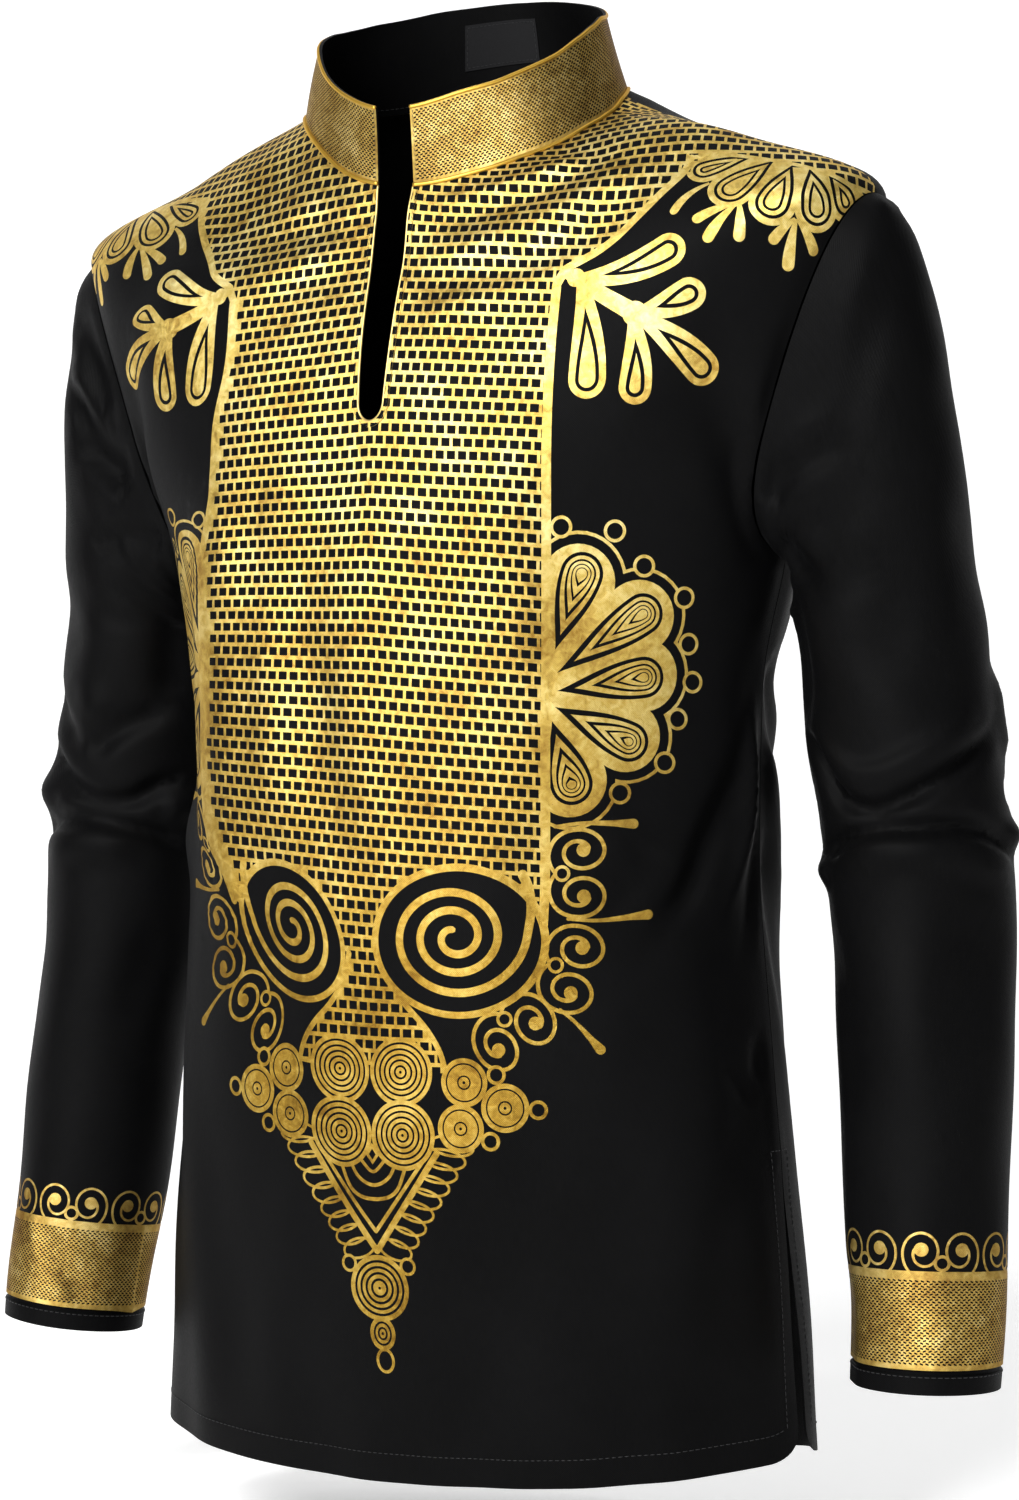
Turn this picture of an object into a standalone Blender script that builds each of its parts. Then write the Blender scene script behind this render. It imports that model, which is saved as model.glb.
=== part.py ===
"""Dashiki shirt: a stand-collar, long-sleeved tunic worn on an unseen wearer. Metres, +Z up.

The shirt faces -Y and the wearer's left is +X. The origin is at the middle of the neck, level with the
side neck points, where the shoulders carry the shirt. Every panel is a shell between closed sections of
the body and the sleeves; the tables below give those sections from the hem up and from the shoulder down.
"""
import math

import bmesh
import bpy
import numpy as np

for old in list(bpy.data.objects):
    bpy.data.objects.remove(old, do_unlink=True)

# ------------------------------------------------------------------ sizes
WALL = 0.0015          # cloth wall, with its turned edges
SEAM = 0.00036         # half of the gap between two pieces at a seam
LAID = 0.0004          # gap under a piece that lies on another
VENT_Z = -0.556        # top of the side vents
VENT_GAP_FRONT = 0.0065
VENT_GAP_BACK = 0.0030
HEM_CORNER = 0.022     # rounding of the hem's corners at the vents
SLIT_Z = -0.1755       # lowest point of the neck slit
SLIT_TIP_R = 0.0090
SLIT_HALF_LOW = 0.0074
SLIT_HALF_TOP = 0.0104
EDGE_WIDTH = 0.0032    # narrow turned edge sewn round the slit
LABEL_WIDE = 0.046
LABEL_AT_X = -0.010

# Sections of the body from the hem up. cf is the centre front, cb the centre back, side the side seam,
# or the shoulder seam above the armhole. square says how full the section's corners are.
TORSO_COLUMNS = ("z_cf", "y_cf", "x_side", "y_side", "z_side", "z_cb", "y_cb", "square_f", "square_b")
TORSO = {
    "hem":      (-0.7110, -0.0620, 0.1870, 0.030, -0.6950, -0.7120, 0.128, 0.60, 0.60),
    "hip":      (-0.6200, -0.0730, 0.1810, 0.028, -0.6100, -0.6200, 0.130, 0.60, 0.60),
    "belly":    (-0.5000, -0.0830, 0.1710, 0.026, -0.4950, -0.5000, 0.130, 0.60, 0.60),
    "waist":    (-0.3950, -0.0870, 0.1645, 0.024, -0.3920, -0.3950, 0.126, 0.57, 0.56),
    "ribs":     (-0.3150, -0.0880, 0.1655, 0.025, -0.3120, -0.3150, 0.130, 0.56, 0.56),
    "underarm": (-0.2450, -0.0870, 0.1755, 0.031, -0.2450, -0.2450, 0.137, 0.58, 0.58),
    "chest":    (-0.1800, -0.0835, 0.2060, 0.029, -0.1650, -0.1760, 0.138, 0.62, 0.60),
    "tip":      (-0.1200, -0.0735, 0.2325, 0.016, -0.0660, -0.0960, 0.124, 0.62, 0.55),
    "shoulder": (-0.0830, -0.0650, 0.1600, 0.012, -0.0305, -0.0320, 0.106, 0.58, 0.50),
    "neck":     (-0.0520, -0.0590, 0.0870, 0.010,  0.0010,  0.0170, 0.088, 0.56, 0.56),
}
AT = {name: float(i) for i, name in enumerate(TORSO)}

# How far the armholes cut into the front and the back, as a share of each quarter section.
ARMHOLE = {"low": AT["underarm"] + 0.05, "high": AT["tip"], "front": 0.193, "back": 0.175, "skew": 0.86}

# Sections of a sleeve below its head, on the wearer's left.
SLEEVE_COLUMNS = ("x", "y", "z", "half_x", "half_y")
SLEEVE = {
    "biceps":  (0.2245, 0.0450, -0.268, 0.0465, 0.0500),
    "upper":   (0.2305, 0.0485, -0.320, 0.0475, 0.0500),
    "elbow":   (0.2410, 0.0495, -0.400, 0.0465, 0.0480),
    "forearm": (0.2475, 0.0420, -0.480, 0.0440, 0.0450),
    "wrist":   (0.2530, 0.0305, -0.570, 0.0405, 0.0420),
    "cuff":    (0.2575, 0.0180, -0.660, 0.0375, 0.0395),
}
# The way a sleeve leaves the armhole, and how far it keeps that way.
HEAD_COLUMNS = ("x", "y", "z", "reach")
HEAD = {
    "top":   (0.93, 0.00, -0.36, 0.105),
    "front": (0.75, 0.15, -0.60, 0.135),
    "under": (0.80, 0.00, -0.60, 0.070),
    "back":  (0.80, -0.10, -0.55, 0.135),
}
# The collar's top edge.
COLLAR = {"z_cf": -0.0090, "y_cf": -0.058, "x_side": 0.0755, "y_side": 0.010, "z_side": 0.040,
          "z_cb": 0.060, "y_cb": 0.078, "square": 0.56}

# Largest folds. A fold runs over the cloth from one place to another through a middle one. Places on the
# body are (section, share of the way from the centre to the side); on a sleeve they are
# (share of the way from biceps to cuff, degrees round from the outside, 90 in front).
FOLD_COLUMNS = ("start", "middle", "end", "width", "height")
BODY_FRONT_FOLDS = {
    "side drape ridge":  ((4.55, 0.985), (3.75, 0.880), (2.55, 0.760), 0.0115, 0.0052),
    "side drape hollow": ((4.45, 0.940), (3.55, 0.810), (2.40, 0.640), 0.0130, -0.0060),
    "lower drape ridge": ((3.90, 1.000), (2.90, 0.930), (2.10, 0.820), 0.0105, 0.0040),
    "chest hollow":      ((6.60, 0.770), (5.90, 0.800), (5.20, 0.860), 0.0170, -0.0060),
    "midriff hollow":    ((5.20, 0.160), (4.20, 0.210), (2.80, 0.230), 0.0140, -0.0028),
}
BODY_BACK_FOLDS = {
    "back side drape":   ((4.60, 0.960), (3.70, 0.830), (2.60, 0.700), 0.0140, -0.0055),
    "back side ridge":   ((4.20, 1.000), (3.30, 0.900), (2.40, 0.780), 0.0120, 0.0042),
    "blade hollow":      ((6.50, 0.780), (5.80, 0.800), (5.10, 0.850), 0.0170, -0.0055),
    "small of the back": ((4.40, 0.200), (3.70, 0.330), (3.20, 0.520), 0.0150, -0.0045),
}
SLEEVE_FOLDS = {
    "elbow crease":       ((0.235, 15), (0.345, 85), (0.240, 152), 0.0080, -0.0052),
    "elbow roll hollow":  ((0.400, -28), (0.345, 62), (0.375, 128), 0.0075, -0.0056),
    "elbow outer bulge":  ((0.240, -10), (0.300, -22), (0.350, -40), 0.0150, 0.0050),
    "elbow inner bulge":  ((0.330, 135), (0.345, 152), (0.350, 175), 0.0130, 0.0045),
    "forearm roll":       ((0.420, -20), (0.385, 60), (0.410, 135), 0.0090, 0.0030),
    "elbow back stretch": ((0.330, 215), (0.350, 262), (0.330, 300), 0.0200, 0.0040),
}
HEAD_FOLDS = {
    "armhole crease":     ((-0.62, 92), (-0.36, 112), (-0.06, 128), 0.0100, -0.0042),
    "underarm crease":    ((-0.50, 128), (-0.15, 150), (0.08, 140), 0.0090, -0.0034),
    "back arm crease":    ((-0.55, 270), (-0.30, 250), (0.00, 232), 0.0110, -0.0040),
}


# ------------------------------------------------------------------ curves
def through(xs, rows, x):
    """A smooth curve through the rows of a table that doesn't overshoot them, read at x."""
    xs, rows = np.asarray(xs, float), np.asarray(rows, float)
    h = np.diff(xs)[:, None]
    d = np.diff(rows, axis=0) / h
    slope = np.zeros_like(rows)
    w1, w2 = 2 * h[1:] + h[:-1], h[1:] + 2 * h[:-1]
    same = d[:-1] * d[1:] > 0
    safe = np.where(same, d[:-1] * d[1:], 1.0)
    slope[1:-1] = np.where(same, (w1 + w2) * safe / (w1 * d[1:] + w2 * d[:-1] + (~same)), 0.0)
    slope[0], slope[-1] = d[0], d[-1]
    x = np.atleast_1d(np.asarray(x, float))
    i = np.clip(np.searchsorted(xs, x, side="right") - 1, 0, len(xs) - 2)
    hh = h[i]
    t = (x - xs[i])[:, None] / hh
    return ((2 * t**3 - 3 * t**2 + 1) * rows[i] + (t**3 - 2 * t**2 + t) * hh * slope[i]
            + (3 * t**2 - 2 * t**3) * rows[i + 1] + (t**3 - t**2) * hh * slope[i + 1])


def bezier(a, b, c, d, n=65):
    t = np.linspace(0, 1, n)[:, None]
    return (1 - t)**3 * a + 3 * (1 - t)**2 * t * b + 3 * (1 - t) * t**2 * c + t**3 * d


def length(line):
    return float(np.linalg.norm(np.diff(line, axis=0), axis=1).sum())


def along(line, shares):
    """Points at the given shares of a line's length."""
    d = np.concatenate([[0.0], np.cumsum(np.linalg.norm(np.diff(line, axis=0), axis=1))])
    at = np.asarray(shares, float) * d[-1]
    return np.stack([np.interp(at, d, line[:, k]) for k in range(3)], axis=1)


def arch(centre, side, square):
    """A quarter section from the centre front or back round to the side."""
    return bezier(centre, centre + np.array([square * side[0], 0, 0]),
                  side + np.array([0, square * (centre[1] - side[1]), 0]), side)


# ------------------------------------------------------------------ body
def section(w):
    return dict(zip(TORSO_COLUMNS, through(range(len(TORSO)), list(TORSO.values()), w)[0]))


def quarter(w, face):
    s = section(w)
    side = np.array([s["x_side"], s["y_side"], s["z_side"]])
    if face == "front":
        return arch(np.array([0, s["y_cf"], s["z_cf"]]), side, s["square_f"])
    return arch(np.array([0, s["y_cb"], s["z_cb"]]), side, s["square_b"])


def section_at(z):
    """The section whose centre front is at height z."""
    w = np.linspace(0, len(TORSO) - 1, 901)
    return float(np.interp(z, through(range(len(TORSO)), list(TORSO.values()), w)[:, 0], w))


def armhole_edge(s, face):
    """The armhole's place: its section, and its share of the way to the side. s is 0 under the arm, 1 at the shoulder."""
    w = ARMHOLE["low"] + (ARMHOLE["high"] - ARMHOLE["low"]) * (1 - math.cos(math.pi * s)) / 2
    return w, 1 - ARMHOLE[face] * math.sin(math.pi * s**ARMHOLE["skew"])


def armhole_share(w, face):
    """The share at which the armhole crosses section w."""
    if not ARMHOLE["low"] < w < ARMHOLE["high"]:
        return 1.0
    s = math.acos(1 - 2 * (w - ARMHOLE["low"]) / (ARMHOLE["high"] - ARMHOLE["low"])) / math.pi
    return armhole_edge(s, face)[1]


def armhole_point(degrees):
    """A point of the armhole: 0 at the shoulder, 90 in front, 180 under the arm, 270 behind."""
    d = degrees % 360
    face, s = ("front", 1 - d / 180) if d <= 180 else ("back", (d - 180) / 180)
    w, share = armhole_edge(s, face)
    return along(quarter(w, face), [share])[0]


def slit_half(w):
    """Half the slit's width where section w crosses the centre front."""
    rise = section(w)["z_cf"] - SLIT_Z
    if rise <= 0:
        return 0.0
    tip = min(rise / SLIT_TIP_R, 1.0)
    return SLIT_HALF_LOW * math.sqrt(1 - (1 - tip)**2) + (SLIT_HALF_TOP - SLIT_HALF_LOW) * min(rise / 0.12, 1.0)


def body_point(w, share, face):
    return along(quarter(w, face), [share])[0]


# ------------------------------------------------------------------ folds
def fold_line(table_row, place):
    start, middle, end = (np.array(table_row[k], float) for k in range(3))
    t = np.linspace(0, 1, 25)[:, None]
    bend = 2 * middle - (start + end) / 2
    route = (1 - t)**2 * start + 2 * (1 - t) * t * bend + t**2 * end
    return np.array([place(*p) for p in route])


def folded(points, normals, folds, place):
    """The points moved along their normals by the folds: each is a soft ridge or trough that dies out at its ends."""
    moved = points.copy()
    for row in folds.values():
        line = fold_line(row, place)
        gap = np.linalg.norm(points[:, None, :] - line[None, :, :], axis=2)
        nearest = gap.argmin(axis=1)
        t = nearest / (len(line) - 1)
        fade = np.sin(np.pi * np.clip(0.06 + 0.88 * t, 0, 1))**0.7
        moved += normals * (row[4] * fade * np.exp(-(gap.min(axis=1) / row[3])**2))[:, None]
    return moved


def grid_normals(grid):
    """Outward normals of a grid of points whose rows go up the body and whose columns go towards +X."""
    du = np.gradient(grid, axis=1)
    dv = np.gradient(grid, axis=0)
    n = np.cross(du, dv)
    return n / np.maximum(np.linalg.norm(n, axis=2, keepdims=True), 1e-12)


# ------------------------------------------------------------------ meshes
collection = bpy.data.collections.new("dashiki_shirt")
bpy.context.scene.collection.children.link(collection)


def finish(name, colour, roughness, metallic=0.0):
    material = bpy.data.materials.new(name)
    material.use_nodes = True
    shader = material.node_tree.nodes["Principled BSDF"]
    shader.inputs["Base Color"].default_value = (*colour, 1)
    shader.inputs["Roughness"].default_value = roughness
    shader.inputs["Metallic"].default_value = metallic
    material.diffuse_color = (*colour, 1)
    return material


def loft(name, grid, material, closed=False, mirror=False, wall=WALL, flip=False):
    """A panel lofted over a grid of points, given its wall on the inner side."""
    rows, cols = grid.shape[:2]
    bm = bmesh.new()
    verts = [[bm.verts.new(grid[i, j]) for j in range(cols)] for i in range(rows)]
    for i in range(rows - 1):
        for j in range(cols if closed else cols - 1):
            k = (j + 1) % cols
            ring = [verts[i][j], verts[i][k], verts[i + 1][k], verts[i + 1][j]]
            bm.faces.new(ring[::-1] if flip else ring)
    mesh = bpy.data.meshes.new(name)
    bm.to_mesh(mesh)
    bm.free()
    mesh.materials.append(material)
    obj = bpy.data.objects.new(name, mesh)
    collection.objects.link(obj)
    if mirror:
        twin = obj.modifiers.new("both halves", "MIRROR")
        twin.use_axis = (True, False, False)
        twin.use_clip = False
        twin.merge_threshold = 0.00005
    shell = obj.modifiers.new("cloth wall", "SOLIDIFY")
    shell.thickness = wall
    shell.offset = -1
    shell.use_even_offset = False
    return obj


black_cloth = finish("black_cloth", (0.013, 0.013, 0.014), 0.55)


def edge_share(w, face):
    """How far towards the side a panel reaches at section w."""
    whole = length(quarter(w, face))
    vent = section_at(VENT_Z)
    if w < vent:
        gap = VENT_GAP_FRONT if face == "front" else VENT_GAP_BACK
        return 1 - (SEAM + gap * (1 - w / vent)**0.8) / whole
    return armhole_share(w, face) - SEAM / whole


def hem_section(share, face):
    """The hem: section 0, rounded up at the corner by the vent."""
    whole = length(quarter(0.0, face))
    to_edge = (edge_share(0.0, face) - share) * whole
    if to_edge >= HEM_CORNER:
        return 0.0
    rise = HEM_CORNER - math.sqrt(max(HEM_CORNER**2 - (HEM_CORNER - to_edge)**2, 0.0))
    return 0.62 * rise / 0.09


def body_panel(face, sections, columns):
    """Half a front or back, from the centre out: a row for each section, with the shares of each row's width."""
    grid = np.zeros((len(sections), len(columns), 3))
    lift = sections[4]
    for i, w in enumerate(sections):
        inner = slit_half(w) / length(quarter(w, face)) if face == "front" else 0.0
        outer = edge_share(w, face)
        for j, c in enumerate(columns):
            share = inner + (outer - inner) * c
            at = w
            if w < lift:
                low = hem_section(share, face)
                at = low + (lift - low) * w / lift
            grid[i, j] = body_point(at, share, face)
    normals = grid_normals(grid)
    if face == "back":
        normals = -normals
    centre = [j for j, c in enumerate(columns) if c == 0]
    flat = grid.reshape(-1, 3)
    folds = BODY_FRONT_FOLDS if face == "front" else BODY_BACK_FOLDS
    moved = folded(flat, normals.reshape(-1, 3), folds, lambda w, s: body_point(w, min(s, 1.0), face)).reshape(grid.shape)
    # the seams stay where they meet the next piece, and the centre stays on the plane of symmetry
    columns = np.asarray(columns)
    hold = np.clip((1 - columns) / 0.06, 0, 1)[None, :, None]
    vent = section_at(VENT_Z)
    hold = np.where((np.asarray(sections) < vent)[:, None, None], 1.0, hold)
    moved = grid + (moved - grid) * hold
    for j in centre:
        below = [i for i, w in enumerate(sections) if face == "back" or slit_half(w) == 0]
        moved[below, j, 0] = 0.0
    return moved


slit_low = section_at(SLIT_Z)
NECK = AT["neck"] - 0.012
ARM_STEPS = (0.14, 0.25, 0.36, 0.48, 0.60, 0.72, 0.83, 0.92)
front_sections = sorted(
    [0.0, 0.07, 0.18, 0.36, 0.62, 0.95, 1.25, section_at(VENT_Z), 1.85, 2.2, 2.55, 2.9, 3.25, 3.6, 3.95, 4.3, 4.65,
     ARMHOLE["low"], slit_low, slit_low + 0.03, slit_low + 0.09, ARMHOLE["high"], 7.35, 7.7, 8.0, 8.35, 8.7, NECK]
    + [armhole_edge(s, "front")[0] for s in (0.16, 0.30, 0.42, 0.66, 0.78, 0.89)])
back_sections = sorted(
    [0.0, 0.07, 0.18, 0.36, 0.62, 1.0, section_at(VENT_Z), 1.95, 2.4, 2.85, 3.3, 3.75, 4.2, 4.65,
     ARMHOLE["low"], ARMHOLE["high"], 7.5, 8.0, 8.5, NECK]
    + [armhole_edge(s, "back")[0] for s in (0.17, 0.32, 0.48, 0.64, 0.82)])
FRONT_COLUMNS = (0, 0.10, 0.21, 0.33, 0.45, 0.57, 0.68, 0.78, 0.87, 0.945, 1)
BACK_COLUMNS = (0, 0.14, 0.28, 0.42, 0.56, 0.69, 0.81, 0.92, 1)

front_grid = body_panel("front", front_sections, FRONT_COLUMNS)
front = loft("front", front_grid, black_cloth, mirror=True)
back_grid = body_panel("back", back_sections, BACK_COLUMNS)
back = loft("back", back_grid, black_cloth, mirror=True, flip=True)


# ------------------------------------------------------------------ sleeves
def sleeve_section(v):
    """Centre, half widths and the three directions of a sleeve section; v is 0 at the biceps, 1 at the cuff."""
    table, n = list(SLEEVE.values()), len(SLEEVE) - 1
    row = through(range(n + 1), table, v * n)[0]
    a, b = through(range(n + 1), table, [max(v * n - 1e-3, 0), min(v * n + 1e-3, n)])[:, :3]
    down = (b - a) / np.linalg.norm(b - a)
    out = np.array([1.0, 0, 0]) - down * down[0]
    out /= np.linalg.norm(out)
    fore = np.cross(out, down)
    return row, out, fore if fore[1] < 0 else -fore, down


def sleeve_point(v, degrees):
    """A point of the left sleeve. v is -1 at the armhole, 0 at the biceps and 1 at the cuff's edge."""
    a = math.radians(degrees)
    row, out, fore, down = sleeve_section(max(v, 0.0))
    ring = row[:3] + out * row[3] * math.cos(a) + fore * row[4] * math.sin(a)
    if v >= 0:
        return ring
    start = armhole_point(degrees)
    pull = {"top": max(math.cos(a), 0), "under": max(-math.cos(a), 0),
            "front": max(math.sin(a), 0), "back": max(-math.sin(a), 0)}
    leave = sum((pull[k]**2 * HEAD[k][3] * np.array(HEAD[k][:3]) for k in HEAD), np.zeros(3))
    arrive = down * np.linalg.norm(ring - start)
    s = v + 1
    return ((2 * s**3 - 3 * s**2 + 1) * start + (s**3 - 2 * s**2 + s) * leave
            + (3 * s**2 - 2 * s**3) * ring + (s**3 - s**2) * arrive)


def sleeve_grid(steps, around):
    grid = np.array([[sleeve_point(v, 360 * j / around) for j in range(around)] for v in steps])
    # the head starts just clear of the armhole
    for j in range(around):
        fine = np.array([sleeve_point(v, 360 * j / around) for v in np.linspace(-1, steps[1], 12)])
        grid[0, j] = along(fine, [0.00065 / length(fine)])[0]
    ring = np.concatenate([grid[:, -1:], grid, grid[:, :1]], axis=1)
    normals = grid_normals(ring)[:, 1:-1]
    centre = grid.mean(axis=1, keepdims=True)
    if ((grid - centre) * normals).sum() < 0:
        normals = -normals
    flat = folded(grid.reshape(-1, 3), normals.reshape(-1, 3), {**SLEEVE_FOLDS, **HEAD_FOLDS}, sleeve_point)
    moved = flat.reshape(grid.shape)
    moved[:2] = grid[:2]
    return moved


SLEEVE_STEPS = (-1, -0.90, -0.74, -0.56, -0.38, -0.18, 0, 0.12, 0.20, 0.245, 0.285, 0.32, 0.355, 0.39, 0.43, 0.49,
                0.59, 0.72, 0.86, 1.0)
AROUND = 22
left_grid = sleeve_grid(SLEEVE_STEPS, AROUND)
sleeve_left = loft("sleeve_left", left_grid, black_cloth, closed=True)
sleeve_right = loft("sleeve_right", left_grid * np.array([-1, 1, 1]), black_cloth, closed=True, flip=True)


# ------------------------------------------------------------------ collar
def collar_point(rise, share, face):
    """rise is 0 at the neck seam and 1 at the top edge."""
    side = np.array([COLLAR["x_side"], COLLAR["y_side"], COLLAR["z_side"]])
    middle = (np.array([0, COLLAR["y_cf"], COLLAR["z_cf"]]) if face == "front"
              else np.array([0, COLLAR["y_cb"], COLLAR["z_cb"]]))
    top = along(arch(middle, side, COLLAR["square"]), [share])[0]
    return (1 - rise) * body_point(AT["neck"], share, face) + rise * top


front_inner = (SLIT_HALF_TOP + 0.0002) / length(quarter(AT["neck"], "front"))
around_half = ([("front", s) for s in np.linspace(front_inner, 1, 11)][:-1]
               + [("back", s) for s in np.linspace(1, 0, 10)])
rises = (0.012, 0.34, 0.67, 1.0)
collar_grid = np.array([[collar_point(r, s, face) for face, s in around_half] for r in rises])
collar_grid[:, -1, 0] = 0.0
collar = loft("collar", collar_grid, black_cloth, mirror=True)


# ------------------------------------------------------------------ turned edge round the slit
bronze = finish("slit_edge", (0.42, 0.27, 0.10), 0.45, 0.5)


def slit_strip():
    """Rows down one side of the slit and round its tip to the centre, made from the front's points and moved out."""
    inner_row, outer_row = [], []
    steps = [NECK - 0.02, 8.6, 8.2, 7.8, 7.4, 7.0, 6.75, 6.5, slit_low + 0.16, slit_low + 0.09, slit_low + 0.045,
             slit_low + 0.018, slit_low]
    line = []
    for w in steps:
        line.append((slit_half(w), w))
    for k, (half, w) in enumerate(line):
        before = line[max(k - 1, 0)]
        after = line[min(k + 1, len(line) - 1)]
        rise = (section(before[1])["z_cf"] - section(after[1])["z_cf"])
        run = before[0] - after[0]
        if k == len(line) - 1:
            out_x, out_z = 0.0, -1.0
        else:
            size = math.hypot(rise, run)
            out_x, out_z = rise / size, -run / size
        for row, shift in ((inner_row, 0.0003), (outer_row, EDGE_WIDTH)):
            x = max(half + out_x * shift, 0.0)
            z = section(w)["z_cf"] + out_z * shift
            at = section_at(z)
            whole = length(quarter(at, "front"))
            p = body_point(at, x / whole, "front")
            e = 0.002
            q = body_point(at, (x + e) / whole, "front")
            r = body_point(min(at + 0.02, AT["neck"]), x / whole, "front")
            n = np.cross(q - p, r - p)
            n /= np.linalg.norm(n)
            p = p + n * (LAID + 0.0010)
            if k == len(line) - 1:
                p[0] = 0.0
            row.append(p)
    return np.array([inner_row, outer_row])


edge_grid = slit_strip()
slit_edge = loft("slit_edge", edge_grid, bronze, mirror=True, wall=0.0010)

# ------------------------------------------------------------------ blank label inside the back of the collar
label_cloth = finish("label_cloth", (0.020, 0.020, 0.022), 0.6)


def label_point(x, rise):
    share = abs(x) / length(quarter(AT["neck"], "back"))
    p = collar_point(rise, share, "back")
    q = collar_point(rise, share + 0.01, "back")
    r = collar_point(rise + 0.05, share, "back")
    n = np.cross(r - p, q - p)
    n /= np.linalg.norm(n)
    if n[1] > 0:
        n = -n
    p = p + n * (WALL + LAID)
    return p * np.array([math.copysign(1, x), 1, 1]) if x else p


label_grid = np.array([[label_point(LABEL_AT_X + LABEL_WIDE * t, rise) for t in np.linspace(-0.5, 0.5, 7)]
                       for rise in (0.34, 0.60, 0.86)])
neck_label = loft("neck_label", label_grid, label_cloth, wall=0.0008)
neck_label.modifiers["cloth wall"].offset = 1
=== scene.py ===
"""Dashiki shirt: the looks of every piece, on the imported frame. Metres, +Z up, the shirt faces -Y."""
import math

import bpy
import numpy as np
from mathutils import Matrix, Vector, kdtree
from mathutils.geometry import delaunay_2d_cdt


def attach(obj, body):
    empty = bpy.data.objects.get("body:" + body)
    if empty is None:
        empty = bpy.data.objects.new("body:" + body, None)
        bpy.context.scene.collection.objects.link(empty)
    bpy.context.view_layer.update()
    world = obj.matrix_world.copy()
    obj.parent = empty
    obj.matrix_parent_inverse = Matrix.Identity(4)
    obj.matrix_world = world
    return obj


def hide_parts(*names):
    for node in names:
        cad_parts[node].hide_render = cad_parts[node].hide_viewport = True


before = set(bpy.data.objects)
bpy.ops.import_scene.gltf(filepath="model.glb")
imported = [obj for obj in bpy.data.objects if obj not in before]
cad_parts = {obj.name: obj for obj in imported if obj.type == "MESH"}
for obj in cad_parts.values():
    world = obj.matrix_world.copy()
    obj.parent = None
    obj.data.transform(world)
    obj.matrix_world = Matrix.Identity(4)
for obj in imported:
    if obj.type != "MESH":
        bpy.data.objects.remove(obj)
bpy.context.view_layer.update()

# =================================================================== form
# The same sections as the solids: cf centre front, cb centre back, side the side or shoulder seam.
TORSO_COLUMNS = ("z_cf", "y_cf", "x_side", "y_side", "z_side", "z_cb", "y_cb", "square_f", "square_b")
TORSO = {
    "hem":      (-0.7110, -0.0620, 0.1870, 0.030, -0.6950, -0.7120, 0.128, 0.60, 0.60),
    "hip":      (-0.6200, -0.0730, 0.1810, 0.028, -0.6100, -0.6200, 0.130, 0.60, 0.60),
    "belly":    (-0.5000, -0.0830, 0.1710, 0.026, -0.4950, -0.5000, 0.130, 0.60, 0.60),
    "waist":    (-0.3950, -0.0870, 0.1645, 0.024, -0.3920, -0.3950, 0.126, 0.57, 0.56),
    "ribs":     (-0.3150, -0.0880, 0.1655, 0.025, -0.3120, -0.3150, 0.130, 0.56, 0.56),
    "underarm": (-0.2450, -0.0870, 0.1755, 0.031, -0.2450, -0.2450, 0.137, 0.58, 0.58),
    "chest":    (-0.1800, -0.0835, 0.2060, 0.029, -0.1650, -0.1760, 0.138, 0.62, 0.60),
    "tip":      (-0.1200, -0.0735, 0.2325, 0.016, -0.0660, -0.0960, 0.124, 0.62, 0.55),
    "shoulder": (-0.0830, -0.0650, 0.1600, 0.012, -0.0305, -0.0320, 0.106, 0.58, 0.50),
    "neck":     (-0.0520, -0.0590, 0.0870, 0.010,  0.0010,  0.0170, 0.088, 0.56, 0.56),
}
AT = {name: float(i) for i, name in enumerate(TORSO)}
ARMHOLE = {"low": AT["underarm"] + 0.05, "high": AT["tip"], "front": 0.193, "back": 0.175, "skew": 0.86}
SLEEVE = {
    "biceps":  (0.2245, 0.0450, -0.268, 0.0465, 0.0500),
    "upper":   (0.2305, 0.0485, -0.320, 0.0475, 0.0500),
    "elbow":   (0.2410, 0.0495, -0.400, 0.0465, 0.0480),
    "forearm": (0.2475, 0.0420, -0.480, 0.0440, 0.0450),
    "wrist":   (0.2530, 0.0305, -0.570, 0.0405, 0.0420),
    "cuff":    (0.2575, 0.0180, -0.660, 0.0375, 0.0395),
}
HEAD = {
    "top":   (0.93, 0.00, -0.36, 0.105),
    "front": (0.75, 0.15, -0.60, 0.135),
    "under": (0.80, 0.00, -0.60, 0.070),
    "back":  (0.80, -0.10, -0.55, 0.135),
}
COLLAR = {"z_cf": -0.0090, "y_cf": -0.058, "x_side": 0.0755, "y_side": 0.010, "z_side": 0.040,
          "z_cb": 0.060, "y_cb": 0.078, "square": 0.56}
SEAM = 0.0003
VENT_Z = -0.556
VENT_GAP = {"front": 0.0065, "back": 0.0030}
HEM_CORNER = 0.022
SLIT_Z = -0.1755
SLIT_TIP_R = 0.0090
SLIT_HALF_LOW = 0.0074
SLIT_HALF_TOP = 0.0104


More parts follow.
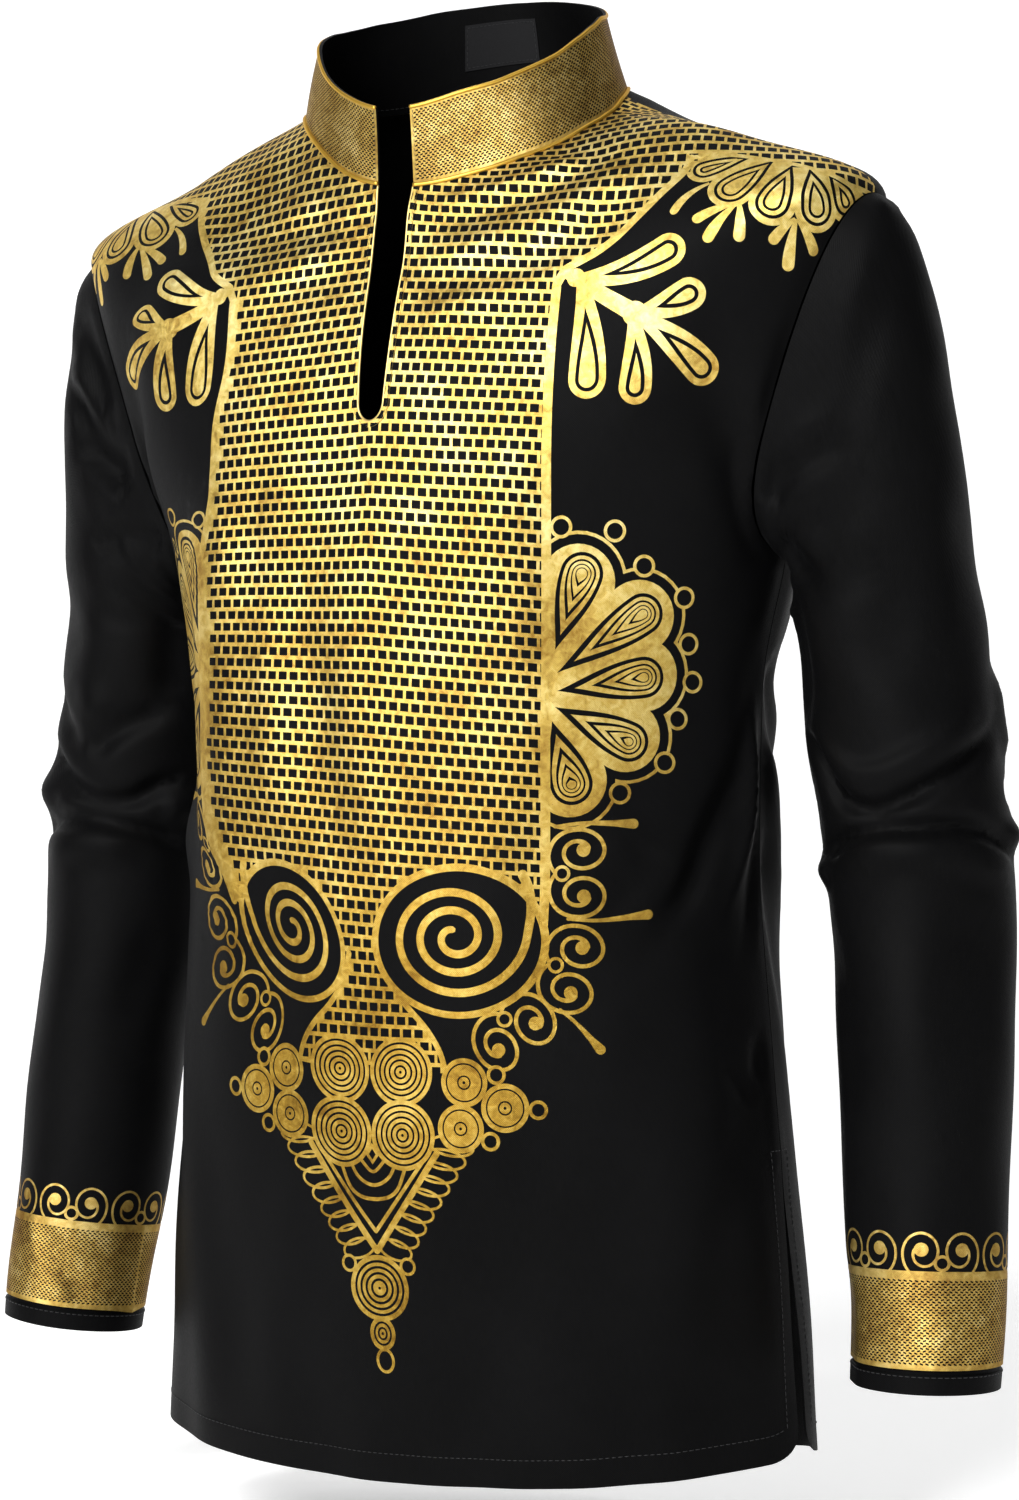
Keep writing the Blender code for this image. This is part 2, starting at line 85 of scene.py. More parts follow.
def through(xs, rows, x):
    """A smooth curve through the rows of a table that doesn't overshoot them, read at x."""
    xs, rows = np.asarray(xs, float), np.asarray(rows, float)
    flat = rows.ndim == 1
    if flat:
        rows = rows[:, None]
    shape = rows.shape[1:]
    rows = rows.reshape(len(rows), -1)
    h = np.diff(xs)[:, None]
    d = np.diff(rows, axis=0) / h
    slope = np.zeros_like(rows)
    w1, w2 = 2 * h[1:] + h[:-1], h[1:] + 2 * h[:-1]
    same = d[:-1] * d[1:] > 0
    safe = np.where(same, d[:-1] * d[1:], 1.0)
    slope[1:-1] = np.where(same, (w1 + w2) * safe / (w1 * d[1:] + w2 * d[:-1] + (~same)), 0.0)
    slope[0], slope[-1] = d[0], d[-1]
    x = np.atleast_1d(np.asarray(x, float))
    i = np.clip(np.searchsorted(xs, x, side="right") - 1, 0, len(xs) - 2)
    hh = h[i]
    t = (x - xs[i])[:, None] / hh
    out = ((2 * t**3 - 3 * t**2 + 1) * rows[i] + (t**3 - 2 * t**2 + t) * hh * slope[i]
           + (3 * t**2 - 2 * t**3) * rows[i + 1] + (t**3 - t**2) * hh * slope[i + 1])
    return out[:, 0] if flat else out.reshape((len(x),) + shape)


def spline(points, n):
    """A smooth line through points (centripetal enough for short routes), with n points."""
    p = np.asarray(points, float)
    if len(p) == 2:
        t = np.linspace(0, 1, n)[:, None]
        return p[0] * (1 - t) + p[1] * t
    e = np.concatenate([[2 * p[0] - p[1]], p, [2 * p[-1] - p[-2]]])
    t = np.linspace(0, len(p) - 1 - 1e-9, n)
    i = t.astype(int)
    f = (t - i)[:, None]
    a, b, c, d = e[i], e[i + 1], e[i + 2], e[i + 3]
    return 0.5 * (2 * b + (c - a) * f + (2 * a - 5 * b + 4 * c - d) * f**2 + (3 * b - a - 3 * c + d) * f**3)


def unit(v):
    return v / np.maximum(np.linalg.norm(v, axis=-1, keepdims=True), 1e-12)


def arches(rows, face, shares):
    """Points of quarter sections: rows are table rows, shares run from the centre to the side."""
    s = dict(zip(TORSO_COLUMNS, rows.T))
    zero = np.zeros(len(rows))
    side = np.stack([s["x_side"], s["y_side"], s["z_side"]], 1)
    k = s["square_f"] if face == "front" else s["square_b"]
    mid = np.stack([zero, s["y_cf"], s["z_cf"]], 1) if face == "front" else np.stack([zero, s["y_cb"], s["z_cb"]], 1)
    b = mid + np.stack([k * side[:, 0], zero, zero], 1)
    c = side + np.stack([zero, k * (mid[:, 1] - side[:, 1]), zero], 1)
    t = np.linspace(0, 1, 97)[None, :, None]
    line = ((1 - t)**3 * mid[:, None] + 3 * (1 - t)**2 * t * b[:, None]
            + 3 * (1 - t) * t**2 * c[:, None] + t**3 * side[:, None])
    d = np.concatenate([np.zeros((len(rows), 1)), np.cumsum(np.linalg.norm(np.diff(line, axis=1), axis=2), axis=1)], 1)
    out = np.empty((len(rows), len(shares), 3))
    for i in range(len(rows)):
        at = np.asarray(shares) * d[i, -1]
        for j in range(3):
            out[i, :, j] = np.interp(at, d[i], line[i, :, j])
    return out, d[:, -1]


def table_rows(w):
    return through(range(len(TORSO)), list(TORSO.values()), w)


def armhole_edge(s, face):
    w = ARMHOLE["low"] + (ARMHOLE["high"] - ARMHOLE["low"]) * (1 - math.cos(math.pi * s)) / 2
    return w, 1 - ARMHOLE[face] * math.sin(math.pi * s**ARMHOLE["skew"])


def body_point(w, share, face):
    return arches(table_rows([w]), face, [share])[0][0, 0]


W_FINE = np.linspace(0, len(TORSO) - 1, 1801)
Z_FINE = table_rows(W_FINE)[:, 0]
SLIT_W = float(np.interp(SLIT_Z, Z_FINE, W_FINE))
VENT_W = float(np.interp(VENT_Z, Z_FINE, W_FINE))
NECK_W = AT["neck"] - 0.003
# How the neckline and the collar's top edge hang, in millimetres up or down from even sections. around is 0 at the
# centre front, 1 at the shoulder seam and 2 at the centre back.
NECK_DRAPE_COLUMNS = ("around", "seam_left", "seam_right", "top_left", "top_right")
NECK_DRAPE = (
    (0.00, -2.0, -2.0, -4.5, -4.5),
    (0.25, -8.0, 0.0, -7.5, -3.0),
    (0.50, -16.0, 3.0, -15.0, -3.5),
    (0.75, -22.0, 1.5, -18.5, -1.5),
    (0.90, -20.0, -1.0, -14.0, 0.2),
    (1.00, -15.0, -0.5, -8.0, 3.2),
    (1.12, -6.0, 0.0, -1.5, 6.6),
    (1.28, 0.0, 0.0, 0.0, 9.0),
    (1.50, 0.0, 0.0, 2.0, 9.0),
    (1.75, 0.0, 0.0, 3.0, 6.5),
    (2.00, 0.0, 0.0, 4.0, 4.0),
)


def slit_half(w):
    rise = np.interp(w, W_FINE, Z_FINE) - SLIT_Z
    if rise <= 0:
        return 0.0
    tip = min(rise / SLIT_TIP_R, 1.0)
    return SLIT_HALF_LOW * math.sqrt(1 - (1 - tip)**2) + (SLIT_HALF_TOP - SLIT_HALF_LOW) * min(rise / 0.12, 1.0)


# =================================================================== surfaces
class Surface:
    """A dense grid of points, normals and flat places, read anywhere between its nodes."""

    def __init__(self, a, b, points, outward):
        self.a, self.b, self.outward = a, b, outward
        self.base = points
        self.base_normal = self.normals(points)
        self.points, self.normal = points, self.base_normal

    def normals(self, p):
        n = unit(np.cross(np.gradient(p, axis=1), np.gradient(p, axis=0)))
        return n * self.outward

    def fold(self, height):
        self.points = self.base + self.base_normal * height[..., None]
        self.normal = self.normals(self.points)

    def read(self, grid, a, b):
        """grid read bilinearly at rows a, columns b."""
        i = np.clip((a - self.a[0]) / (self.a[1] - self.a[0]), 0, len(self.a) - 1.000001)
        j = np.clip((b - self.b[0]) / (self.b[1] - self.b[0]), 0, len(self.b) - 1.000001)
        i0, j0 = i.astype(int), j.astype(int)
        fi, fj = (i - i0), (j - j0)
        if grid.ndim == 3:
            fi, fj = fi[:, None], fj[:, None]
        return ((1 - fi) * (1 - fj) * grid[i0, j0] + (1 - fi) * fj * grid[i0, j0 + 1]
                + fi * (1 - fj) * grid[i0 + 1, j0] + fi * fj * grid[i0 + 1, j0 + 1])


def neck_drape(around, column):
    """Metres up or down at places round the neck (negative for the wearer's right)."""
    rows = np.array(NECK_DRAPE)
    k = NECK_DRAPE_COLUMNS.index(column + "_left")
    left, right = (through(rows[:, 0], rows[:, j], np.abs(around)) for j in (k, k + 1))
    return np.where(np.asarray(around) >= 0, left, right) * 0.001


def torso_surface(face, rows=451, half=161):
    w = np.linspace(0, AT["neck"], rows)
    shares = np.linspace(0, 1, half)
    p, _ = arches(table_rows(w), face, shares)
    left = p[:, :0:-1] * np.array([-1, 1, 1])
    s = np.linspace(-1, 1, 2 * half - 1)
    grid = np.concatenate([left, p], axis=1)
    around = s if face == "front" else np.where(s >= 0, 2 - s, -2 - s)
    reach = np.clip((w - AT["shoulder"] + 0.1) / 1.1, 0, 1)**1.5
    grid[..., 2] += reach[:, None] * neck_drape(around, "seam")[None]
    return Surface(w, s, grid, 1 if face == "front" else -1)


def sleeve_sections(v):
    n = len(SLEEVE) - 1
    v = np.clip(np.asarray(v, float), 0, 1) * n
    row = through(range(n + 1), list(SLEEVE.values()), v)
    a = through(range(n + 1), list(SLEEVE.values()), np.maximum(v - 1e-3, 0))[:, :3]
    b = through(range(n + 1), list(SLEEVE.values()), np.minimum(v + 1e-3, n))[:, :3]
    down = unit(b - a)
    out = unit(np.array([1.0, 0, 0]) - down * down[:, :1])
    fore = np.cross(out, down)
    fore = np.where(fore[:, 1:2] < 0, fore, -fore)
    return row, out, fore, down


def armhole_points(degrees):
    pts = []
    for d in degrees:
        d = d % 360
        face, s = ("front", 1 - d / 180) if d <= 180 else ("back", (d - 180) / 180)
        w, share = armhole_edge(s, face)
        pts.append(body_point(w, share, face))
    return np.array(pts)


def sleeve_surface(side, rows=561, around=361):
    v = np.linspace(-1, 1, rows)
    deg = np.linspace(-180, 180, around)
    a = np.radians(deg)
    row, out, fore, down = sleeve_sections(v)
    ring = (row[:, None, :3] + out[:, None] * (row[:, 3:4, None] * np.cos(a)[None, :, None])
            + fore[:, None] * (row[:, 4:5, None] * np.sin(a)[None, :, None]))
    start = armhole_points(deg)
    pull = {"top": np.maximum(np.cos(a), 0), "under": np.maximum(-np.cos(a), 0),
            "front": np.maximum(np.sin(a), 0), "back": np.maximum(-np.sin(a), 0)}
    leave = sum(pull[k][:, None]**2 * HEAD[k][3] * np.array(HEAD[k][:3]) for k in HEAD)
    first = ring[v >= 0][0]
    arrive = down[v >= 0][0] * np.linalg.norm(first - start, axis=1, keepdims=True)
    s = (v[v < 0] + 1)[:, None, None]
    ring[v < 0] = ((2 * s**3 - 3 * s**2 + 1) * start + (s**3 - 2 * s**2 + s) * leave
                   + (3 * s**2 - 2 * s**3) * first + (s**3 - s**2) * arrive)
    ring = ring * np.array([side, 1, 1])
    return Surface(v, deg, ring, side)


def relax_flat(points, steps=2600):
    """Lays a grid of points out flat, keeping the distances between neighbours. The first column is the middle line."""
    rows, cols = points.shape[:2]
    across = np.concatenate([np.zeros((rows, 1)), np.cumsum(np.linalg.norm(np.diff(points, axis=1), axis=2), 1)], 1)
    up = np.concatenate([[0.0], np.cumsum(np.linalg.norm(np.diff(points[:, 0], axis=0), axis=1))])
    flat = np.stack([across, up[:, None] + (points[..., 2] - points[:, :1, 2])], 2)
    links = []
    for di, dj, weight in ((1, 0, 1.0), (0, 1, 1.0), (1, 1, 0.5), (1, -1, 0.5), (2, 0, 0.3), (0, 2, 0.3)):
        i0, i1 = 0, rows - di
        j0, j1 = (0, cols - dj) if dj >= 0 else (-dj, cols)
        a = (slice(i0, i1), slice(j0, j1))
        b = (slice(i0 + di, i1 + di), slice(j0 + dj, j1 + dj))
        links.append((a, b, np.linalg.norm(points[b] - points[a], axis=2), weight))
    count = np.zeros((rows, cols, 1))
    for a, b, _, weight in links:
        count[a] += weight
        count[b] += weight
    for _ in range(steps):
        move = np.zeros_like(flat)
        for a, b, rest, weight in links:
            d = flat[b] - flat[a]
            size = np.linalg.norm(d, axis=2)
            push = (0.5 * weight * (size - rest) / np.maximum(size, 1e-9))[..., None] * d
            move[a] += push
            move[b] -= push
        flat += 1.6 * move / count
        flat[:, 0, 0] = 0.0
    flat[..., 1] -= flat[0, 0, 1]
    return flat


def upsample(coarse, rows_from, rows_to, cols_from, cols_to):
    tall = through(rows_from, coarse, rows_to)
    wide = through(cols_from, np.swapaxes(tall, 0, 1), cols_to)
    return np.swapaxes(wide, 0, 1)


front_surface = torso_surface("front")
w_coarse = np.linspace(0, front_surface.a[-1], 76)
s_coarse = np.linspace(0, 1, 25)
coarse, _ = arches(table_rows(w_coarse), "front", s_coarse)
flat_half = relax_flat(coarse)
flat_right = upsample(flat_half, w_coarse, front_surface.a, s_coarse, np.linspace(0, 1, (len(front_surface.b) + 1) // 2))
front_flat = np.concatenate([flat_right[:, :0:-1] * np.array([-1, 1]), flat_right], axis=1)
# flat places are measured up from the hem's centre; v is made to read as height below the neck point
front_flat[..., 1] -= front_flat[-1, len(front_surface.b) // 2, 1] + 0.052


def back_flat_grid():
    w = np.linspace(0, back_surface.a[-1], 76)
    s = np.linspace(0, 1, 25)
    half, _ = arches(table_rows(w), "back", s)
    flat = upsample(relax_flat(half), w, back_surface.a, s, np.linspace(0, 1, (len(back_surface.b) + 1) // 2))
    return np.concatenate([flat[:, :0:-1] * np.array([-1, 1]), flat], axis=1)


back_surface = torso_surface("back")
back_flat = back_flat_grid()
sleeve_surfaces = {"left": sleeve_surface(1), "right": sleeve_surface(-1)}

# =================================================================== folds
# Each fold: the places it runs through, its width on either side, its height, and how much of its ends fades.
# Places on the body are (section, share of the way from centre to side, the wearer's left +); on a sleeve they
# are (share of the way from biceps to cuff, degrees round from the outside, 90 in front).
FOLD_COLUMNS = ("route", "width", "other_width", "height", "fade_in", "fade_out")
FRONT_FOLDS = {
    "hollow before the left armhole":  (((6.9, .66), (6.1, .70), (5.7, .76), (5.3, .88), (5.0, .97)), .017, .015, -.0060, .4, .2),
    "ridge by the left armhole":       (((6.5, .80), (6.0, .79), (5.6, .86), (5.3, .95)), .010, .010, .0034, .4, .3),
    "hollow before the right armhole": (((6.8, -.68), (6.1, -.72), (5.6, -.80), (5.2, -.92)), .015, .016, -.0050, .4, .2),
    "left side hollow":                (((3.95, .98), (3.42, .90), (3.08, .825), (2.82, .775), (2.64, .70), (2.40, .60)), .0095, .0085, -.0062, .35, .4),
    "left side ridge":                 (((4.1, .985), (3.76, .96), (3.42, .955), (3.08, .93), (2.80, .89), (2.50, .81)), .0065, .0065, .0052, .35, .5),
    "left side small hollow":          (((3.5, 1.0), (3.1, .995), (2.7, .955), (2.35, .89)), .0065, .0070, -.0036, .4, .5),
    "right bib corner roll":           (((5.9, -.44), (5.2, -.46), (4.4, -.47), (3.6, -.47), (2.9, -.46), (2.3, -.44)), .034, .028, .0100, .35, .30),
    "left waist hollow":               (((3.05, .70), (2.95, .67), (2.76, .58), (2.6, .50)), .012, .010, -.0026, .4, .5),
    "left waist ridge":                (((3.2, .66), (3.0, .60), (2.8, .52)), .010, .012, .0018, .5, .5),
    "pucker over the left vent":       (((2.05, .80), (1.96, .844), (1.86, .894), (1.80, .94)), .006, .006, -.0022, .5, .4),
    "second pucker":                   (((2.15, .935), (2.0, .94), (1.86, .94)), .005, .006, -.0020, .5, .4),
    "left hip drape":                  (((2.2, .985), (1.7, .88), (1.1, .80), (.4, .76)), .016, .020, -.0030, .4, .5),
    "left hip roll":                   (((2.0, .80), (1.4, .70), (.6, .66), (0, .65)), .018, .018, .0026, .5, .0),
    "yoke wave a":                     (((8.30, .07), (8.22, .30), (8.25, .50), (8.42, .74)), .0075, .008, -.0022, .3, .4),
    "yoke wave b":                     (((8.60, .10), (8.52, .32), (8.55, .55), (8.72, .75)), .007, .007, .0018, .3, .4),
    "yoke wave c":                     (((7.80, .08), (7.74, .27), (7.86, .50), (8.10, .72)), .0085, .010, .0024, .3, .4),
    "yoke wave d":                     (((7.36, .08), (7.32, .26), (7.46, .45), (7.72, .66)), .0085, .009, -.0022, .3, .5),
    "yoke wave e":                     (((7.00, .07), (6.96, .22), (7.10, .38)), .009, .009, .0016, .3, .5),
    "right yoke wave":                 (((8.36, -.08), (8.10, -.26), (7.80, -.44), (7.5, -.62)), .011, .011, -.0020, .3, .5),
    "right yoke ridge":                (((7.9, -.07), (7.7, -.22), (7.4, -.40)), .010, .010, .0016, .3, .5),
    "bib hollow right":                (((6.3, -.10), (5.4, -.125), (4.2, -.16), (3.2, -.13), (2.6, -.10)), .020, .024, -.0026, .4, .4),
    "bib ridge right":                 (((5.9, -.27), (4.8, -.30), (3.6, -.30), (2.8, -.26)), .024, .020, .0022, .5, .4),
    "bib hollow left":                 (((6.2, .14), (5.4, .155), (4.3, .15), (3.3, .19), (2.5, .22)), .018, .024, -.0020, .4, .5),
    "bib ridge left":                  (((6.5, .30), (5.6, .31), (4.6, .33), (3.8, .36)), .020, .022, .0018, .4, .5),
    "bib fold left":                   (((5.1, .42), (4.3, .46), (3.5, .43)), .018, .018, -.0014, .5, .5),
    "right side dent":                 (((3.75, -.56), (3.62, -.72), (3.55, -.86), (3.55, -1.0)), .020, .026, -.0062, .5, .0),
    "right side ridge":                (((3.25, -.60), (3.15, -.76), (3.0, -.90), (2.95, -1.0)), .017, .020, .0040, .5, .0),
    "right side hollow":               (((4.9, -.97), (4.3, -.86), (3.9, -.74), (3.6, -.62)), .013, .014, -.0040, .2, .5),
    "right hip drape":                 (((2.5, -.98), (2.1, -.84), (1.5, -.76), (.8, -.72)), .016, .018, -.0032, .2, .5),
    "right hip roll":                  (((2.3, -.70), (1.6, -.62), (.9, -.58), (0, -.56)), .020, .020, .0022, .5, .0),
    "hem wave a":                      (((1.3, .20), (.6, .22), (0, .24)), .022, .026, -.0022, .6, .0),
    "hem wave b":                      (((1.2, -.24), (.5, -.22), (0, -.20)), .024, .024, -.0018, .6, .0),
    "hem wave c":                      (((1.0, .44), (.4, .46), (0, .47)), .020, .022, .0018, .6, .0),
    "belly drape":                     (((2.2, .34), (1.7, .28), (1.3, .16)), .022, .018, .0014, .5, .5),
}
BACK_FOLDS = {
    "hollow behind the left armhole":  (((6.9, .72), (6.2, .74), (5.6, .80), (5.2, .92)), .016, .016, -.0055, .4, .2),
    "hollow behind the right armhole": (((6.8, -.70), (6.1, -.74), (5.5, -.82), (5.2, -.93)), .016, .015, -.0052, .4, .2),
    "left blade drape":                (((6.6, .45), (5.8, .50), (4.9, .62), (4.2, .80), (3.9, .95)), .018, .016, -.0044, .4, .3),
    "left blade ridge":                (((6.2, .58), (5.4, .64), (4.7, .76), (4.3, .90)), .013, .014, .0036, .4, .3),
    "right blade drape":               (((6.5, -.42), (5.7, -.49), (4.8, -.60), (4.0, -.82)), .017, .018, -.0040, .4, .4),
    "right blade ridge":               (((6.3, -.60), (5.5, -.66), (4.9, -.78), (4.5, -.92)), .013, .013, .0034, .4, .3),
    "small of the back":               (((3.9, -.34), (3.75, -.10), (3.80, .16), (3.95, .40)), .016, .020, -.0046, .4, .4),
    "roll above the small":            (((4.35, -.28), (4.25, -.02), (4.35, .26)), .016, .013, .0036, .4, .4),
    "roll below the small":            (((3.40, -.42), (3.25, -.12), (3.35, .22), (3.5, .46)), .015, .018, .0040, .4, .4),
    "second hollow":                   (((2.95, -.28), (2.85, .04), (3.0, .30)), .014, .018, -.0030, .5, .5),
    "left side hollow":                (((4.3, .99), (3.6, .85), (3.1, .72), (2.6, .60)), .014, .013, -.0052, .1, .5),
    "left side ridge":                 (((3.8, .99), (3.2, .90), (2.7, .80), (2.2, .70)), .012, .012, .0044, .2, .5),
    "left low hollow":                 (((3.2, 1.0), (2.7, .94), (2.1, .86), (1.6, .82)), .011, .012, -.0034, .2, .5),
    "right side hollow":               (((4.0, -.99), (3.5, -.86), (2.9, -.70), (2.4, -.60)), .014, .014, -.0050, .1, .5),
    "right side ridge":                (((3.5, -.99), (3.0, -.88), (2.4, -.76)), .012, .013, .0042, .2, .5),
    "right low hollow":                (((2.9, -1.0), (2.4, -.92), (1.9, -.86)), .011, .012, -.0030, .2, .5),
    "seat drape left":                 (((2.6, .30), (1.6, .34), (.7, .36), (0, .37)), .024, .028, -.0030, .5, .0),
    "seat drape right":                (((2.4, -.26), (1.5, -.30), (.6, -.33), (0, -.34)), .026, .024, -.0028, .5, .0),
    "seat ridge":                      (((2.0, .02), (1.2, .03), (.4, .02), (0, .02)), .030, .030, .0022, .5, .0),
    "left hem wave":                   (((1.2, .66), (.5, .68), (0, .69)), .022, .022, .0026, .5, .0),
    "right hem wave":                  (((1.1, -.62), (.5, -.64), (0, -.65)), .022, .024, .0024, .5, .0),
    "neck pull left":                  (((8.5, .12), (8.0, .22), (7.5, .30)), .010, .012, -.0016, .3, .5),
    "neck pull right":                 (((8.5, -.14), (8.0, -.22), (7.6, -.32)), .010, .011, -.0014, .3, .5),
}
LEFT_SLEEVE_FOLDS = {
    "armpit crease a":     (((-.95, 130), (-.81, 107), (-.64, 85), (-.52, 68)), .009, .012, -.0048, .1, .5),
    "armpit ridge a":      (((-.90, 112), (-.78, 92), (-.66, 74)), .008, .009, .0026, .3, .5),
    "armpit crease b":     (((-.85, 146), (-.45, 134), (-.18, 114), (-.02, 96)), .008, .011, -.0050, .1, .5),
    "armpit ridge b":      (((-.66, 124), (-.40, 112), (-.20, 96)), .009, .010, .0026, .4, .5),
    "long arm drape":      (((-.30, 70), (-.02, 58), (.10, 66), (.20, 84)), .020, .016, -.0030, .5, .4),
    "long arm ridge":      (((-.50, 36), (-.20, 34), (.05, 38), (.20, 52)), .022, .022, .0028, .5, .5),
    "inner arm drape":     (((-.20, 150), (.04, 138), (.16, 142), (.24, 156)), .013, .013, -.0042, .3, .4),
    "elbow U hollow":      (((.215, 158), (.245, 134), (.305, 116), (.328, 92), (.318, 66), (.292, 36), (.262, 8), (.225, -20)), .0060, .0052, -.0074, .2, .30),
    "roll over the U":     (((.195, 138), (.262, 112), (.286, 90), (.276, 64), (.246, 34), (.215, 10)), .0085, .0060, .0040, .3, .3),
    "outer bow":           (((.13, -26), (.19, -30), (.25, -34), (.305, -34)), .014, .012, .0052, .4, .3),
    "outer pinch":         (((.320, -54), (.320, -30), (.326, -6)), .0055, .0055, -.0042, .3, .4),
    "outer arch flare":    (((.374, -48), (.370, -25), (.376, 2)), .0075, .0080, .0042, .3, .4),
    "inner arch flare":    (((.396, 136), (.390, 150), (.390, 168)), .0080, .0085, .0040, .4, .3),
    "arch hollow":         (((.372, 160), (.366, 136), (.355, 112), (.352, 88), (.356, 60), (.362, 30), (.380, 0), (.408, -26)), .0052, .0056, -.0066, .2, .2),
    "roll under the arch": (((.402, 130), (.388, 104), (.384, 78), (.392, 46), (.412, 14), (.430, -10)), .0075, .0140, .0030, .3, .3),
    "outer elbow fold":    (((.255, -60), (.290, -42), (.300, -26)), .009, .010, -.0036, .5, .3),
    "back stretch a":      (((.22, 200), (.27, 232), (.29, 262), (.26, 292)), .014, .016, -.0030, .4, .4),
    "back stretch b":      (((.41, 196), (.40, 230), (.41, 262)), .014, .014, -.0026, .4, .4),
    "inner elbow tuck":    (((.300, 150), (.305, 172), (.300, 192)), .008, .008, -.0044, .3, .4),
    "forearm drape a":     (((.45, 150), (.55, 132), (.66, 128), (.76, 134)), .014, .016, -.0026, .3, .5),
    "forearm drape b":     (((.44, 20), (.56, 34), (.70, 36)), .020, .020, -.0018, .3, .5),
    "forearm ridge":       (((.46, 70), (.60, 80), (.78, 84)), .022, .022, .0016, .4, .5),
    "cuff flare":          (((.84, 150), (.92, 148), (1.0, 146)), .014, .014, -.0022, .5, .0),
    "cap ease a":          (((-.97, -12), (-.86, -10)), .006, .006, .0014, .3, .6),
    "cap ease b":          (((-.97, 14), (-.84, 12)), .007, .006, .0012, .3, .6),
    "back arm drape a":    (((-.90, 238), (-.60, 246), (-.30, 262), (-.05, 280)), .013, .014, -.0044, .1, .5),
    "back arm drape b":    (((-.70, 222), (-.30, 224), (.02, 238)), .011, .012, -.0036, .2, .5),
}
RIGHT_SLEEVE_FOLDS = {
    "shoulder crease a":   (((-.72, 26), (-.82, 38), (-.86, 58), (-.86, 84)), .009, .011, -.0042, .4, .2),
    "shoulder crease b":   (((-.55, 40), (-.66, 56), (-.72, 78), (-.84, 98)), .009, .012, -.0052, .4, .1),
    "ridge between":       (((-.62, 36), (-.74, 56), (-.80, 78)), .008, .008, .0028, .4, .4),
    "armpit crease c":     (((-.42, 52), (-.60, 68), (-.74, 88), (-.86, 104)), .009, .010, -.0046, .4, .1),
    "armpit crease d":     (((-.30, 82), (-.52, 100), (-.76, 120), (-.9, 136)), .010, .010, -.0044, .4, .1),
    "long arm drape":      (((-.18, 44), (0, 56), (.10, 78)), .020, .018, -.0028, .5, .4),
    "inner arm drape":     (((-.20, 150), (.04, 142), (.17, 148)), .012, .012, -.0038, .3, .4),
    "elbow line a":        (((.13, 26), (.17, 38), (.215, 60), (.255, 88)), .0075, .008, -.0046, .4, .3),
    "elbow line b":        (((.15, 150), (.185, 124), (.225, 100), (.262, 86)), .008, .0075, -.0046, .3, .3),
    "roll between lines":  (((.10, 70), (.16, 88), (.20, 96)), .012, .012, .0026, .5, .4),
    "elbow U hollow":      (((.245, 22), (.268, 46), (.296, 72), (.312, 96), (.308, 120), (.285, 140), (.262, 166)), .0068, .0066, -.0068, .2, .2),
    "inner bow bulge":     (((.315, 140), (.308, 156), (.305, 172)), .0090, .0090, .0044, .4, .2),
    "outer bow bulge":     (((.322, 58), (.312, 34), (.305, 8)), .0100, .0095, .0050, .4, .3),
    "arch hollow":         (((.388, 14), (.358, 40), (.342, 70), (.338, 96), (.342, 122), (.352, 150), (.372, 172)), .0062, .0062, -.0062, .2, .2),
    "roll under the arch": (((.405, 46), (.380, 76), (.374, 104), (.386, 134)), .0075, .0130, .0030, .3, .3),
    "back stretch a":      (((.23, 204), (.28, 236), (.28, 268)), .014, .015, -.0030, .4, .4),
    "back stretch b":      (((.42, 200), (.40, 236), (.42, 270)), .014, .014, -.0024, .4, .4),
    "forearm drape a":     (((.46, 154), (.58, 140), (.70, 140)), .013, .014, -.0024, .3, .5),
    "forearm drape b":     (((.45, 34), (.60, 46), (.74, 44)), .020, .020, -.0016, .3, .5),
    "cuff crease":         (((.845, 78), (.90, 98), (.945, 122), (.975, 140)), .006, .009, -.0026, .4, .3),
    "cap ease":            (((-.97, 6), (-.85, 4)), .007, .006, .0014, .3, .6),
    "back arm drape a":    (((-.88, 240), (-.58, 250), (-.26, 268)), .013, .014, -.0042, .1, .5),
    "back arm drape b":    (((-.64, 220), (-.26, 226), (.05, 242)), .011, .012, -.0034, .2, .5),
}
# Broad unevenness that no panel is without: (waves across, waves up, phase, height)
FRONT_WAVES = ((3.1, 2.2, 0.7, .0008), (5.3, 3.7, 2.1, .0005), (8.7, 2.9, 4.0, .0004), (2.2, 5.1, 1.3, .0006), (11.0, 7.0, .4, .00022))
BACK_WAVES = ((2.7, 2.6, 1.9, .0009), (5.9, 3.1, .4, .0006), (7.9, 4.3, 3.0, .0004), (1.6, 5.6, 5.1, .0006), (12.0, 6.0, 1.4, .00022))
SLEEVE_WAVES = ((2, 3.3, .5, .0007), (3, 5.2, 2.6, .0005), (1, 6.9, 4.4, .0006), (5, 9.1, 1.1, .00028))


